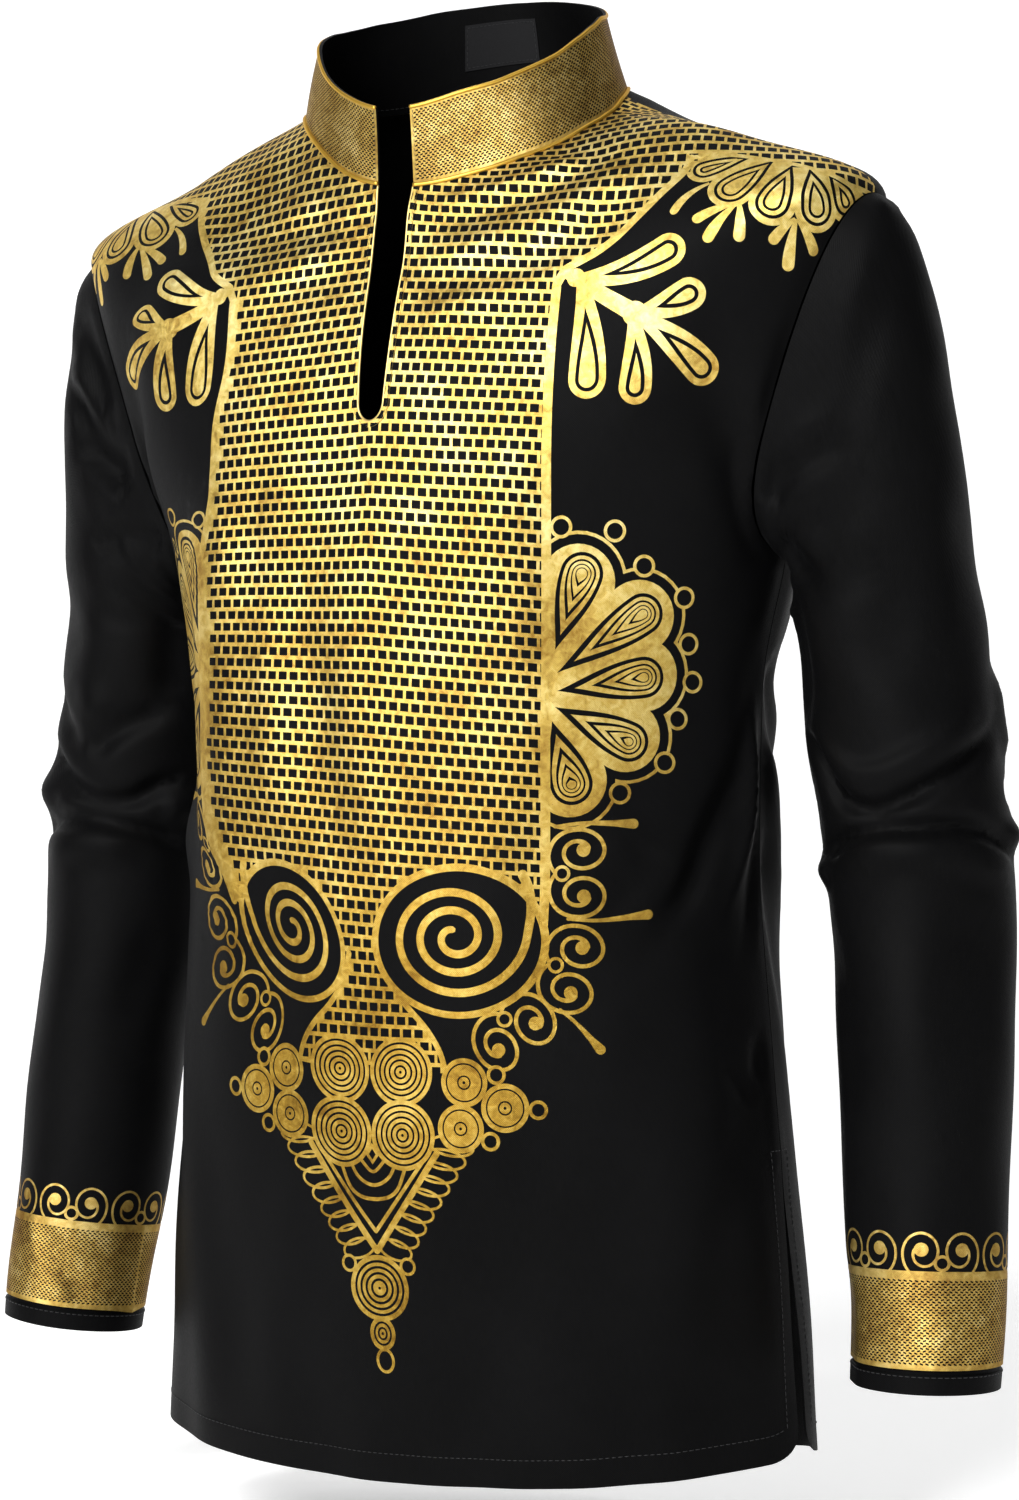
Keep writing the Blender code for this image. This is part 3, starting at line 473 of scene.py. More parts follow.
def fold_height(surface, folds):
    height = np.zeros(surface.base.shape[:2])
    flat_base = surface.base.reshape(-1, 3)
    for route, wide, other, tall, fade_in, fade_out in folds.values():
        r = spline(route, 60)
        rb = r[:, 1]
        if len(surface.b) and surface.b[-1] == 180:
            rb = (rb + 180) % 360 - 180
        line = surface.read(surface.base, r[:, 0], rb)
        normal = unit(surface.read(surface.base_normal, r[:, 0], rb))
        tangent = unit(np.gradient(line, axis=0))
        side = np.cross(tangent, normal)
        reach = 2.6 * max(wide, other)
        near = np.nonzero(np.all((flat_base > line.min(0) - reach) & (flat_base < line.max(0) + reach), axis=1))[0]
        for part in np.array_split(near, max(1, len(near) // 20000)):
            d = flat_base[part, None] - line[None]
            gap = (d**2).sum(2)
            k = gap.argmin(1)
            off = np.sqrt(gap[np.arange(len(part)), k])
            sign = (d[np.arange(len(part)), k] * side[k]).sum(1)
            width = np.where(sign > 0, wide, other)
            t = k / (len(line) - 1)
            fade = np.ones(len(part))
            if fade_in:
                e = np.clip(t / fade_in, 0, 1)
                fade *= e * e * (3 - 2 * e)
            if fade_out:
                e = np.clip((1 - t) / fade_out, 0, 1)
                fade *= e * e * (3 - 2 * e)
            x = off / width
            height.reshape(-1)[part] += tall * fade * np.exp(-x**2 * (1 + 0.22 * x))
    return height


def waves(surface, rows, closed=False):
    up = (surface.a - surface.a[0]) / (surface.a[-1] - surface.a[0])
    across = (surface.b - surface.b[0]) / (surface.b[-1] - surface.b[0])
    out = 0
    for kx, ky, phase, tall in rows:
        wobble = 0.35 * np.sin(2 * math.pi * ky * 0.5 * up[:, None] + 1.7 * phase)
        out = out + tall * np.sin(2 * math.pi * kx * across[None] + wobble + phase) * np.sin(2 * math.pi * ky * up[:, None] + 2.3 * phase + 0.4 * np.sin(2 * math.pi * across[None]))
    return out


def smooth(x):
    x = np.clip(x, 0, 1)
    return x * x * (3 - 2 * x)


def seam_hold(surface, side_reach, low=None, high=None):
    """1 away from the seams, less at them, so that neighbours still meet."""
    edge = np.abs(surface.b)
    hold = 0.0 + smooth((1 - edge) / side_reach)
    return np.broadcast_to(hold[None], surface.base.shape[:2]).copy()


def to_armhole(surface, face):
    """Rough distance in metres from a body panel's nodes to its armhole and shoulder seams."""
    s = np.linspace(0, 1, 60)
    edge = np.array([armhole_edge(t, face) for t in s])
    up = np.linspace(ARMHOLE["high"], surface.a[-1], 25)
    line = np.concatenate([surface.read(surface.base, edge[:, 0], edge[:, 1]), surface.read(surface.base, up, np.ones(25))])
    neck = surface.read(surface.base, np.full(40, NECK_W), np.linspace(0, 1, 40))
    line = np.concatenate([line, neck])
    line = np.concatenate([line, line * np.array([-1, 1, 1])])
    tree = kdtree.KDTree(len(line))
    for i, p in enumerate(line):
        tree.insert(p, i)
    tree.balance()
    out = np.zeros(surface.base.shape[:2])
    low = np.searchsorted(surface.a, 4.4)
    out[:low] = 1.0
    sub = surface.base[low::3, ::3]
    d = np.array([[tree.find(p)[2] for p in row] for row in sub])
    rows = np.arange(low, len(surface.a))
    cols = np.arange(len(surface.b))
    tall = np.array([np.interp(rows, rows[::3], d[:, j]) for j in range(d.shape[1])]).T
    out[low:] = np.array([np.interp(cols, cols[::3], tall[i]) for i in range(tall.shape[0])])
    return out


def vent_free(surface):
    """Below the vent's top the side edges hang free, so their folds aren't held."""
    return smooth((VENT_W + 0.10 - surface.a) / 0.25)[:, None]


for face, surface, folds, ripple in (("front", front_surface, FRONT_FOLDS, FRONT_WAVES), ("back", back_surface, BACK_FOLDS, BACK_WAVES)):
    h = fold_height(surface, folds) + waves(surface, ripple)
    hold = np.maximum(seam_hold(surface, 0.05), vent_free(surface)) * smooth(to_armhole(surface, face) / 0.012 + 0.02)
    surface.fold(h * hold)

for side, folds in (("left", LEFT_SLEEVE_FOLDS), ("right", RIGHT_SLEEVE_FOLDS)):
    surface = sleeve_surfaces[side]
    h = fold_height(surface, folds) + waves(surface, SLEEVE_WAVES)
    h[:, -1] = h[:, 0] = 0.5 * (h[:, 0] + h[:, -1])
    h *= smooth((surface.a + 1.0) / 0.10)[:, None]
    surface.fold(h)
    # the cuff hangs lower at its front outer side, and its edge tips up behind
    rows = np.linalg.norm(np.diff(surface.base, axis=0), axis=2).mean(1)
    up = np.concatenate([np.cumsum(rows[::-1])[::-1], [0.0]])
    outer = surface.base_normal @ np.array([0.5, -0.866, 0.0])
    tip = np.interp(up, (0, 0.061, 0.12, 0.20), (0.0062, 0.0042, 0.0020, 0.0)) * (1.0 if side == "left" else 0.8)
    surface.points = surface.points + np.stack([0 * outer, 0 * outer, tip[:, None] * (1 - outer) + np.interp(up, (0, 0.061), (0.002, 0.0))[:, None]], -1)
    n = surface.normal
    n[:, 0] = n[:, -1] = unit(n[:, 0] + n[:, -1])

# =================================================================== flat shapes
# Print shapes are drawn in millimetres on the flat cloth. Each is (outline, colour); later ones lie on top.
BARE, FOIL = 0, 1


def disc(c, r, ry=None, n=None, turn=0.0):
    ry = ry or r
    n = n or max(14, int(2 * math.pi * max(r, ry) / 1.3))
    a = np.linspace(0, 2 * math.pi, n, endpoint=False)
    x, y = r * np.cos(a), ry * np.sin(a)
    ct, st = math.cos(turn), math.sin(turn)
    return np.stack([c[0] + x * ct - y * st, c[1] + x * st + y * ct], 1)


def ring(c, r, wide, ry=None, fill=BARE):
    ry = ry or r
    return [(disc(c, r, ry), FOIL), (disc(c, r - wide, ry - wide), fill)]


def stroke(line, wide, caps=True):
    """The outline of a brush stroke of the given width (one number, or one for each point) along a line."""
    p = np.asarray(line, float)
    w = np.broadcast_to(np.asarray(wide, float), len(p)) / 2
    t = unit(np.gradient(p, axis=0))
    n = np.stack([-t[:, 1], t[:, 0]], 1)
    left, right = p + n * w[:, None], p - n * w[:, None]
    if not caps:
        return np.concatenate([left, right[::-1]])
    def cap(c, direction, r):
        if r < 0.3:
            return np.zeros((0, 2))
        a0 = math.atan2(direction[1], direction[0])
        a = a0 + np.linspace(math.pi / 2, -math.pi / 2, max(4, int(r * 3)))[1:-1]
        return c + r * np.stack([np.cos(a), np.sin(a)], 1)
    return np.concatenate([left, cap(p[-1], t[-1], w[-1]), right[::-1], cap(p[0], -t[0], w[0])])


def teardrop(base, tip, wide, bow=0.0, point=0.0, n=26):
    """A drop, pointed at its base and round at its tip, with its middle bowed to the left by a share of its length."""
    base, tip = np.asarray(base, float), np.asarray(tip, float)
    d = tip - base
    size = math.hypot(*d)
    side = np.array([-d[1], d[0]])
    r = wide / 2
    full = 1 - min(r / size, 0.6)
    t = np.concatenate([np.linspace(0, full, n), full + (1 - full) * np.sin(np.linspace(0, math.pi / 2, 9))[1:]])
    half = np.where(t <= full, point / 2 + (r - point / 2) * np.sin(math.pi / 2 * np.minimum(t / full, 1))**1.15,
                    r * np.sqrt(np.maximum(1 - ((t - full) / (1 - full))**2, 0)))
    mid = base + t[:, None] * d + (bow * 4 * t * (1 - t))[:, None] * side
    normal = unit(np.gradient(mid, axis=0))
    normal = np.stack([-normal[:, 1], normal[:, 0]], 1)
    left, right = mid + normal * half[:, None], mid - normal * half[:, None]
    return np.concatenate([left[:-1], right[::-1][0:-1] if point == 0 else right[::-1]])


def inner_drop(base, tip, wide, bow, start, end):
    """A drop that follows the bowed middle line of a longer one from one share of it to another."""
    base, tip = np.asarray(base, float), np.asarray(tip, float)
    d = tip - base
    side = np.array([-d[1], d[0]])
    at = lambda t: base + t * d + 4 * bow * t * (1 - t) * side
    return teardrop(at(start), at(end), wide, bow * (end - start))


def nested(base, tip, wide, insets, bow=0.0, start=0.0, end=1.0, pull=0.62):
    """Drops inside one another along one middle line: insets is a list of (distance in from the first outline, colour),
    and pull says how much faster their points draw in than their sides."""
    size = float(np.linalg.norm(np.asarray(tip, float) - np.asarray(base, float)))
    sharp = size * (end - start) / (wide / 2)
    out = []
    for inset, colour in insets:
        w = wide - 2 * inset
        s, e = start + inset * sharp * pull / size, end - inset / size
        if w > 0.9 and (e - s) * size > w * 0.55:
            out.append((inner_drop(base, tip, w, bow, s, e), colour))
    return out


def mirrored(shapes):
    return shapes + [(p * np.array([-1, 1]), c) for p, c in shapes]


def curl_half(scale=1.0, turns=1.56, flat=1.0):
    """One curl of a pair: from the foot between the pair, round the far side and in to the eye. The pair lies along x,
    its foot is at the origin, and it stands up in +y."""
    c = np.array([-11.6, 11.4 * flat])
    t = np.linspace(0, 1, 74)
    a = math.radians(-44) - 2 * math.pi * turns * t
    r = np.interp(t, (0, .10, .22, .40, .60, .80, 1.0), (15.9, 13.4, 11.7, 10.6, 8.6, 6.3, 3.7))
    squash = 1 + (flat - 1) * 0.6
    p = c + np.stack([r * np.cos(a), r * np.sin(a) * squash], 1)
    return p * scale, (c + np.array([r[-1] * math.cos(a[-1]) * .45, r[-1] * math.sin(a[-1]) * .45])) * scale


def curl_pair(foot, along, scale=1.0, wide=2.0, eye=3.5, foot_ring=True, flat=1.0, stretch=1.0):
    """A pair of curls standing on one foot, with a small ring between them."""
    foot = np.asarray(foot, float)
    ax = unit(np.asarray(along, float))
    up = np.array([-ax[1], ax[0]])
    half, heart = curl_half(scale, flat=flat)
    shapes = []
    for s in (1, -1):
        def lay(q):
            q = np.atleast_2d(q)
            return foot + (s * q[:, :1] * stretch) * ax + q[:, 1:] * up
        line = lay(half)
        w = np.interp(np.linspace(0, 1, len(line)), (0, .1, .85, 1), (wide * .9, wide, wide, wide * 1.5))
        shapes.append((stroke(line, w), FOIL))
        shapes.append((disc(lay(heart)[0], eye * scale, n=16), FOIL))
    if foot_ring:
        shapes += ring(foot + up * 4.6 * scale, 4.1 * scale, 1.5)
    return shapes


def bricks(inside, pitch, size, low, high, phase=(0.0, 0.0), lean=0.0, slip=None):
    """Small bare blocks in staggered rows, those whose middles the test keeps. slip says how far a place is lifted."""
    out = []
    rows = np.arange(math.floor(low[1] / pitch[1]), math.ceil(high[1] / pitch[1]))
    hx, hy = size[0] / 2, size[1] / 2
    for r in rows:
        x = np.arange(math.floor(low[0] / pitch[0]), math.ceil(high[0] / pitch[0])) * pitch[0] + (pitch[0] / 2 if r % 2 else 0) + phase[0]
        y = np.full(len(x), r * pitch[1] + phase[1])
        at = np.stack([x, y], 1)
        lift = slip(at) if slip is not None else np.zeros(len(x))
        keep = inside(np.stack([x, y + lift], 1))
        tip = lean if r % 2 else -lean
        for cx, cy in at[keep]:
            block = np.array([[cx - hx, cy - hy + tip], [cx + hx, cy - hy - tip], [cx + hx, cy + hy - tip], [cx - hx, cy + hy + tip]])
            if slip is not None:
                block[:, 1] += slip(block)
            out.append((block, BARE))
    return out


def within(points, outline):
    """Even-odd test of points against an outline."""
    x, y = points[:, 0:1], points[:, 1:2]
    a, b = outline, np.roll(outline, -1, axis=0)
    cross = ((a[:, 1] > y) != (b[:, 1] > y)) & (x < (b[:, 0] - a[:, 0]) * (y - a[:, 1]) / np.where(b[:, 1] == a[:, 1], 1e-12, b[:, 1] - a[:, 1]) + a[:, 0])
    return (cross.sum(1) % 2).astype(bool)


# =================================================================== the front's print
PETAL_COLUMNS = ("base", "tip", "width", "beyond")
PETALS = (((101.1, -296.5), (118.4, -249.2), 21.5, 3.6), ((101.9, -307.8), (153.8, -273.6), 20.5, 5.6), ((101.8, -316.7), (155.6, -309.1), 20.5, 7.6),
          ((100.7, -324.5), (146.2, -346.6), 20.0, 5.0), ((99.2, -331.4), (111.4, -372.6), 21.0, 5.8))
ROSETTE_RINGS = ((104.4, -236.3), (131.3, -238.5), (146.0, -255.7), (167.0, -271.5), (169.8, -294.5), (172.0, -313.4), (163.0, -331.5), (155.5, -353.0), (132.4, -367.5))


def rosette_shapes():
    """Half rosettes at the bib's sides: five petals, a line and small rings round them."""
    heart = np.array([93.0, -313.5])
    shapes = []
    for grow, colour in ((6.4, FOIL), (4.7, BARE), (0.0, FOIL)):
        for base, tip, wide, beyond in PETALS:
            d = unit(np.array(tip) - np.array(base))
            shapes.append((teardrop(heart, np.array(tip) + d * (beyond + grow), wide + 15.5 + 2 * grow * .90, n=24), colour))
        if colour == BARE:
            for c in ROSETTE_RINGS:
                shapes += ring(c, 5.6, 1.6)
    steps = ((0, BARE), (1.8, FOIL), (3.5, BARE), (4.5, FOIL), (5.8, BARE), (6.4, FOIL), (7.6, BARE), (8.1, FOIL))
    for base, tip, wide, beyond in PETALS:
        shapes += nested(base, tip, wide, steps, pull=.92)
    return shapes


def spray_shapes():
    """A spray of five leaves at each upper corner of the bib."""
    knot, fork = np.array([107.5, -113.5]), np.array([138.5, -133.0])
    shapes = [(stroke(spline(((99, -109), knot, (120, -122), fork), 18), np.linspace(5, 9, 18)), FOIL), (disc(fork, 6.0), FOIL), (disc(knot, 4.6), FOIL)]
    leaves = (
        (knot, (161.2, -98.4), 17.0, -.085),
        (fork + np.array([3, 1]), (171.8, -119.8), 16.0, -.060),
        (fork + np.array([2, -2]), (178.6, -165.6), 17.5, .045),
        (fork + np.array([-1, -3]), (138.8, -177.0), 16.0, .055),
        (knot + np.array([2.5, -2]), (115.6, -174.0), 19.0, .040),
    )
    for base, tip, wide, bow in leaves:
        base, tip = np.asarray(base, float), np.asarray(tip, float)
        d = unit(tip - base)
        shapes.append((teardrop(base - d * 3, tip, wide, bow, point=4.5), FOIL))
        long = float(np.linalg.norm(tip - base))
        shapes += nested(base, tip, wide - 6.8, ((0, BARE), (1.9, FOIL)), bow, start=.22, end=1 - 3.4 / long)
    return shapes


YOKE_EDGE = ((101.0, -109.0), (119.5, -99.3), (137.2, -83.0), (147.0, -71.4), (157.0, -57.0), (160.0, -46.5))
PALM_TOP = ((160.0, -46.5), (178.0, -45.2), (196.0, -48.8), (212.0, -53.6), (227.0, -59.6), (242.0, -66.5), (262.0, -75.0))


def palmette_shapes():
    """A scalloped palmette below each shoulder, with sprigs of drops hanging from it."""
    petals = (((195.0, -45.5), (159.0, -59.0), 18.5), ((204.0, -49.5), (174.0, -79.0), 24.0), ((212.5, -53.0), (199.0, -90.5), 23.0),
              ((220.0, -56.0), (226.0, -92.0), 22.0), ((228.5, -60.0), (245.0, -83.0), 19.0))
    shapes = []
    sprigs = (((171.0, -66.0), ((154.6, -84.8), 4.4, -.10)), ((186.0, -80.0), ((165.4, -89.5), 5.4, -.06)), ((186.0, -80.0), ((172.0, -99.8), 5.6, -.04)),
              ((187.0, -80.0), ((187.6, -99.4), 5.6, .04)), ((214.0, -87.0), ((203.0, -99.4), 5.4, -.05)), ((214.5, -87.0), ((212.4, -111.4), 6.2, -.03)),
              ((215.0, -87.0), ((226.0, -102.8), 5.6, .05)))
    for base, (tip, wide, bow) in sprigs:
        shapes.append((teardrop(base, tip, wide, bow, point=1.6), FOIL))
    for base, tip, wide in petals:
        d = unit(np.array(tip) - np.array(base))
        shapes.append((teardrop(np.array(base) - d * 2, np.array(tip), wide, point=9), FOIL))
    body = np.concatenate([spline(PALM_TOP[:-1], 30), spline(((242, -66.5), (226, -80), (205, -80), (184, -70), (166, -60), (160, -46.5)), 24)[1:-1]])
    shapes.append((body, FOIL))
    for base, tip, wide in petals:
        base, tip = np.array(base), np.array(tip)
        d = unit(tip - base)
        shapes += nested(base + d * 1.5, tip - d * 3.2, wide - 6.4, ((0, BARE), (1.6, FOIL), (3.6, BARE), (4.9, FOIL)))
    return shapes


def chain_shapes():
    """Pairs of curls and long pins down each side, from the rosette to the discs."""
    shapes = []
    for line in (((100, -383.5), (115, -382.0), (139, -382.8)), ((106, -429.0), (122, -430.0), (146, -427.8)), ((101.5, -473.5), (110, -481.0), (121.0, -493.5))):
        route = spline(line, 16)
        shapes.append((stroke(route, np.interp(np.linspace(0, 1, 16), (0, .5, .8, 1), (1.6, 1.8, 2.9, 5.0))), FOIL))
    for foot, along in (((98.8, -406.6), (0, 1)), ((95.2, -450.4), (.262, .965)), ((71.0, -474.2), (.82, .57))):
        shapes += curl_pair(foot, -np.array(along), 1.0, eye=3.4, flat=1.2, stretch=.93)
    return shapes


def eye_shapes():
    """The pair of large spirals at the foot of the bib."""
    shapes = [(disc((49.8, -439.4), 46.9, 38.4, n=150), FOIL), (disc((49.6, -439.6), 43.0, 34.8, n=140), BARE)]
    c = np.array([48.0, -437.4])
    turns = np.array((-45.0, 0.0, 180.0, 360.0, 540.0, 720.0, 900.0, 985.0))
    reach = np.array((50.5, 37.6, 29.2, 23.1, 17.9, 13.0, 6.4, 4.3))
    travel = np.linspace(turns[0], turns[-1], 230)
    r = through(turns, reach, travel)
    a = -np.radians(travel)
    line = c + np.stack([r * np.cos(a), r * np.sin(a) * .855], 1)
    shapes.append((stroke(line, np.interp(travel, (-45, 0, 900, 985), (5.0, 4.1, 3.9, 3.3))), FOIL))
    return shapes


def target(c, r, lines, wide=1.1, ry=None):
    """A disc with thin bare rings at the given shares of its radius, and a bare dot."""
    k = (ry or r) / r
    shapes = [(disc(c, r, r * k), FOIL)]
    for share in lines:
        shapes.append((disc(c, r * share, r * k * share), BARE))
        shapes.append((disc(c, r * share - wide, r * k * share - wide), FOIL))
    shapes.append((disc(c, 0.8, 0.8, n=10), BARE))
    return shapes


BIB = ((97.6, -116.0), (96.4, -145.0), (96.6, -190.0), (97.0, -240.0), (96.8, -290.0), (95.9, -336.0), (95.3, -385.0), (94.8, -412.0), (93.6, -432.0))
BELL = ((9.0, -446.0), (12.0, -458.0), (20.5, -470.5), (32.0, -483.0), (39.5, -495.0), (43.0, -508.0))


# The wearer's right half of the print sits higher and a little askew. Each row is a place and how far the print has
# moved there, all in millimetres; the rows on the middle line hold it still.
PRINT_DRIFT_COLUMNS = ("across", "up", "out", "raised")
PRINT_DRIFT = (
    (0, -60, 0, 0), (0, -200, 0, 0), (0, -330, 0, 0), (0, -450, -2, 0), (0, -520, 0, 0), (0, -600, 0, 0),
    (-50, -100, 1, 1), (-50, -220, -3, 5), (-50, -335, -5, 8), (-50, -402, -3, 6),
    (-97, -125, 5, 5), (-97, -200, -7, 10), (-97, -290, -12, 14), (-97, -378, -17, 15),
    (-150, -65, 18, 1), (-165, -98, 17, 3), (-165, -150, -12, 19), (-125, -155, 3, 8), (-205, -90, 4, 10),
    (-145, -260, -23, 20), (-145, -345, -21, 15),
    (-125, -432, 9, 14), (-90, -470, 9, 8), (-115, -500, -3, 8), (-60, -515, -3, 4),
)


def drift_at(p):
    """How far the print has moved at places on the flat front."""
    rows = np.array(PRINT_DRIFT, float)
    d2 = ((p[:, None] - rows[None, :, :2])**2).sum(2)
    weight = np.exp(-d2 / (2 * 22.0**2)) + 1e-3 * np.exp(-d2 / (2 * 55.0**2)) + 1e-12
    move = (weight[..., None] * rows[None, :, 2:]).sum(1) / weight.sum(1)[:, None]
    return move * smooth((6.0 - p[:, 0]) / 10.0)[:, None]


# How far the rows of blocks are lifted 97 mm out from the middle line, on the wearer's right and left.
ROW_LIFT_COLUMNS = ("v", "right", "left")
ROW_LIFT = ((-505, 1, 0), (-475, 5, -3), (-430, 8, -6), (-385, 8, -8), (-340, 6, -9), (-260, 2, -10), (-190, -2, -8), (-120, -6, -9), (-60, -10, -12), (60, -10, -12))


def row_lift(p):
    rows = np.array(ROW_LIFT, float)
    share = np.clip(p[:, 0] / 97.0, -1.15, 1.15)
    right, left = (np.interp(p[:, 1], rows[:, 0], rows[:, k]) for k in (1, 2))
    return np.where(share < 0, -share * right, share * left) + 0.24 * np.maximum(p[:, 1] + 60, 0) * smooth((p[:, 0] + 10) / 60)


def drifted(shapes):
    out = []
    for p, colour in shapes:
        if p[:, 0].min() < 6:
            p = dense(p, 4.0) if np.ptp(p[:, 0]) + np.ptp(p[:, 1]) > 14 else p
            p = p + drift_at(p)
        out.append((p, colour))
    return out


def leaning(shapes):
    """The wearer's right eye is narrower and leans over."""
    turn = np.array([[0.742, -0.169], [-0.103, 0.935]])
    return [((p - np.array([-49.8, -439.4])) @ turn.T + np.array([-48.6, -435.3]), c) for p, c in shapes]


def front_print():
    right = rosette_shapes() + chain_shapes() + spray_shapes() + palmette_shapes()
    shapes = drifted(mirrored(right))
    # the block ground: yoke, bib and the bell below it
    edge = spline(YOKE_EDGE, 26)
    top = spline(PALM_TOP, 26)
    bib = spline(BIB, 60)
    bell = spline(BELL, 22)
    half = np.concatenate([np.array([[0, 60.0], [300, 60], [300, -75]]), top[::-1], edge[::-1][1:], bib, np.array([[60.0, -440], [30, -438]]), bell[:-1], np.array([[41.0, -505.0], [0, -505.0]])])
    ground = drifted([(np.concatenate([half, (half * np.array([-1, 1]))[::-1][1:-1]]), FOIL)])[0]
    shapes.append(ground)
    eyes = eye_shapes()
    eyes += leaning([(p * np.array([-1, 1]), c) for p, c in eyes])
    rims = [p for p, c in eyes if c == BARE]
    def inside(p):
        keep = within(p, ground[0])
        side = (p[:, 0] < -60) & (p[:, 1] < -112)
        margin = np.interp(p[:, 1], (-420, -300, -240), (9.5, 8.5, 4.2))
        keep &= ~side | within(p - np.stack([margin, 0 * margin], 1), ground[0])
        for rim in rims:
            keep &= ~within(p, rim.mean(0) + (rim - rim.mean(0)) * 1.055)
        for s in (1, -1):
            for c, r in (((17.6, -505.0), 15.0), ((17.8, -536.5), 15.0)):
                keep &= np.hypot(p[:, 0] - s * c[0], p[:, 1] - c[1]) > r
        return keep
    shapes += bricks(inside, (6.2, 6.3), (4.65, 4.25), (-300, -502), (300, 60), slip=row_lift)
    # lines round the ground
    lines = []
    for s in (1, -1):
        flip = np.array([s, 1])
        lines.append((stroke(top * flip, 3.0), FOIL))
        lines.append((stroke(edge * flip, 4.2), FOIL))
        lines.append((stroke(np.concatenate([edge[:1] + np.array([[0.6, 0.0]]), bib]) * flip, 4.8), FOIL))
        lines.append((stroke(bell * flip, 3.0), FOIL))
    shapes += drifted(lines)
    shapes += eyes
    foot = len(shapes)
    # V with its lines and loops
    strap = ((36.5, -545.0), (24.0, -563.0), (11.5, -580.0), (0.0, -596.0))
    loops = []
    # loops overlap by half, each drawn as three open lines so that the lace shows through
    for k in range(9):
        t = k / 8
        outer = np.array([56.0, -541.5]) * (1 - t) + np.array([20.0, -596.5]) * t
        inner = np.array([33.0, -541.0]) * (1 - t) + np.array([1.5, -593.5]) * t
        mid, d = (outer + inner) / 2, outer - inner
        long = float(np.linalg.norm(d)) / 2
        turn = math.atan2(d[1], d[0]) - 0.10
        a = np.linspace(0, 2 * math.pi, 37)[:-1]
        q = np.stack([long * np.cos(a), 4.9 * np.sin(a)], 1)
        ct, st = math.cos(turn), math.sin(turn)
        q = mid + np.stack([q[:, 0] * ct - q[:, 1] * st, q[:, 0] * st + q[:, 1] * ct], 1)
        for part in (q[:13], q[12:25], np.concatenate([q[24:], q[:1]])):
            loops.append((stroke(part, 1.35, caps=False), FOIL))
    shapes += mirrored(loops)
    wedge = np.array([[-36.5, -545.0], [36.5, -545.0], [0.0, -596.0]])
    shapes.append((wedge, BARE))
    for s in (1, -1):
        flip = np.array([s, 1])
        shapes.append((stroke(spline(strap, 22) * flip, 3.3), FOIL))
        shapes.append((stroke(spline(((29.0, -549.0), (15.0, -567.0), (0.0, -586.0)), 16) * flip, 2.0), FOIL))
    for depth, half_wide, w in ((-569.5, 21.0, 1.9), (-562.4, 15.0, 1.8), (-555.6, 9.2, 1.7)):
        line = spline(((-half_wide, -546.0), (-half_wide * .62, depth + 4.6), (0, depth), (half_wide * .62, depth + 4.6), (half_wide, -546.0)), 26)
        shapes.append((stroke(line, w), FOIL))
    shapes.append((np.array([[0, -541.0], [4.2, -546.5], [0, -552.0], [-4.2, -546.5]]), FOIL))
    shapes.append((np.array([[0, -544.0], [2.0, -546.8], [0, -549.6], [-2.0, -546.8]]), BARE))
    # discs and small rings
    discs = []
    for c in ((68.8, -505.6), (65.0, -538.6), (89.5, -523.0)):
        discs += ring(c, 4.9, 1.7)
    for c in ((52.0, -509.5), (49.6, -532.5), (72.9, -522.0)):
        discs += target(c, 12.2, (.80, .30), .8)
    discs += target((17.6, -505.0), 17.3, (.87, .70, .54, .38, .21))
    discs += target((17.8, -536.6), 17.8, (.87, .70, .54, .38, .21))
    discs += ring((17.2, -603.0), 4.7, 1.5)
    shapes += mirrored(discs)
    shapes += target((0, -615.0), 17.0, (.85, .67, .49, .30), 1.35)
    shapes += target((0.0, -638.4), 7.4, (.72, .40), 1.1, ry=8.8)
    shapes += ring((0.5, -652.4), 5.4, 1.6, ry=6.6)
    return shapes[:foot] + drifted(shapes[foot:])


SHOULDER_SEAM = ((130.3, 763.6), (261.9, 667.1))
SHOULDER_BAND = ((110.0, 752.0), (150.0, 734.0), (190.0, 716.0), (228.0, 700.0), (236.0, 706.0), (200.0, 734.0), (165.0, 758.0), (130.0, 780.0))


def shoulder_print():
    """The yoke's blocks run a little way over each shoulder seam beside the neck."""
    start, end = np.array(SHOULDER_SEAM)
    along = unit(end - start)
    up = np.array([-along[1], along[0]])
    band = np.array(SHOULDER_BAND)
    lay = lambda q: start + q[:, :1] * along + q[:, 1:] * up
    blocks = bricks(lambda q: within(lay(q), band), (6.2, 4.6), (4.65, 3.1), (-30, -30), (140, 30))
    return mirrored([(band, FOIL)] + [(lay(p), colour) for p, colour in blocks])


# =================================================================== cloth from flat shapes
class Cloth:
    """One mesh gathered from layers of triangles: points, faces, materials, places on the flat cloth and normals."""

    def __init__(self):
        self.points, self.faces, self.slots, self.uvs, self.normals = [], [], [], [], []
        self.count = 0

    def add(self, points, faces, slots, uv, normal):
        """uv and normal are given for each corner of each face."""
        self.points.append(points)
        self.faces.append(faces + self.count)
        self.slots.append(np.broadcast_to(slots, len(faces)))
        self.uvs.append(uv)
        self.normals.append(normal)
        self.count += len(points)

    def object(self, name, materials):
        p = np.concatenate(self.points)
        f = np.concatenate(self.faces)
        s = np.concatenate(self.slots).astype(np.int32)
        uv = np.concatenate([u.reshape(-1, 3, 2) for u in self.uvs]).reshape(-1, 2)
        n = np.concatenate([u.reshape(-1, 3, 3) for u in self.normals])
        return mesh_object(name, p, f, s, uv, n, materials)


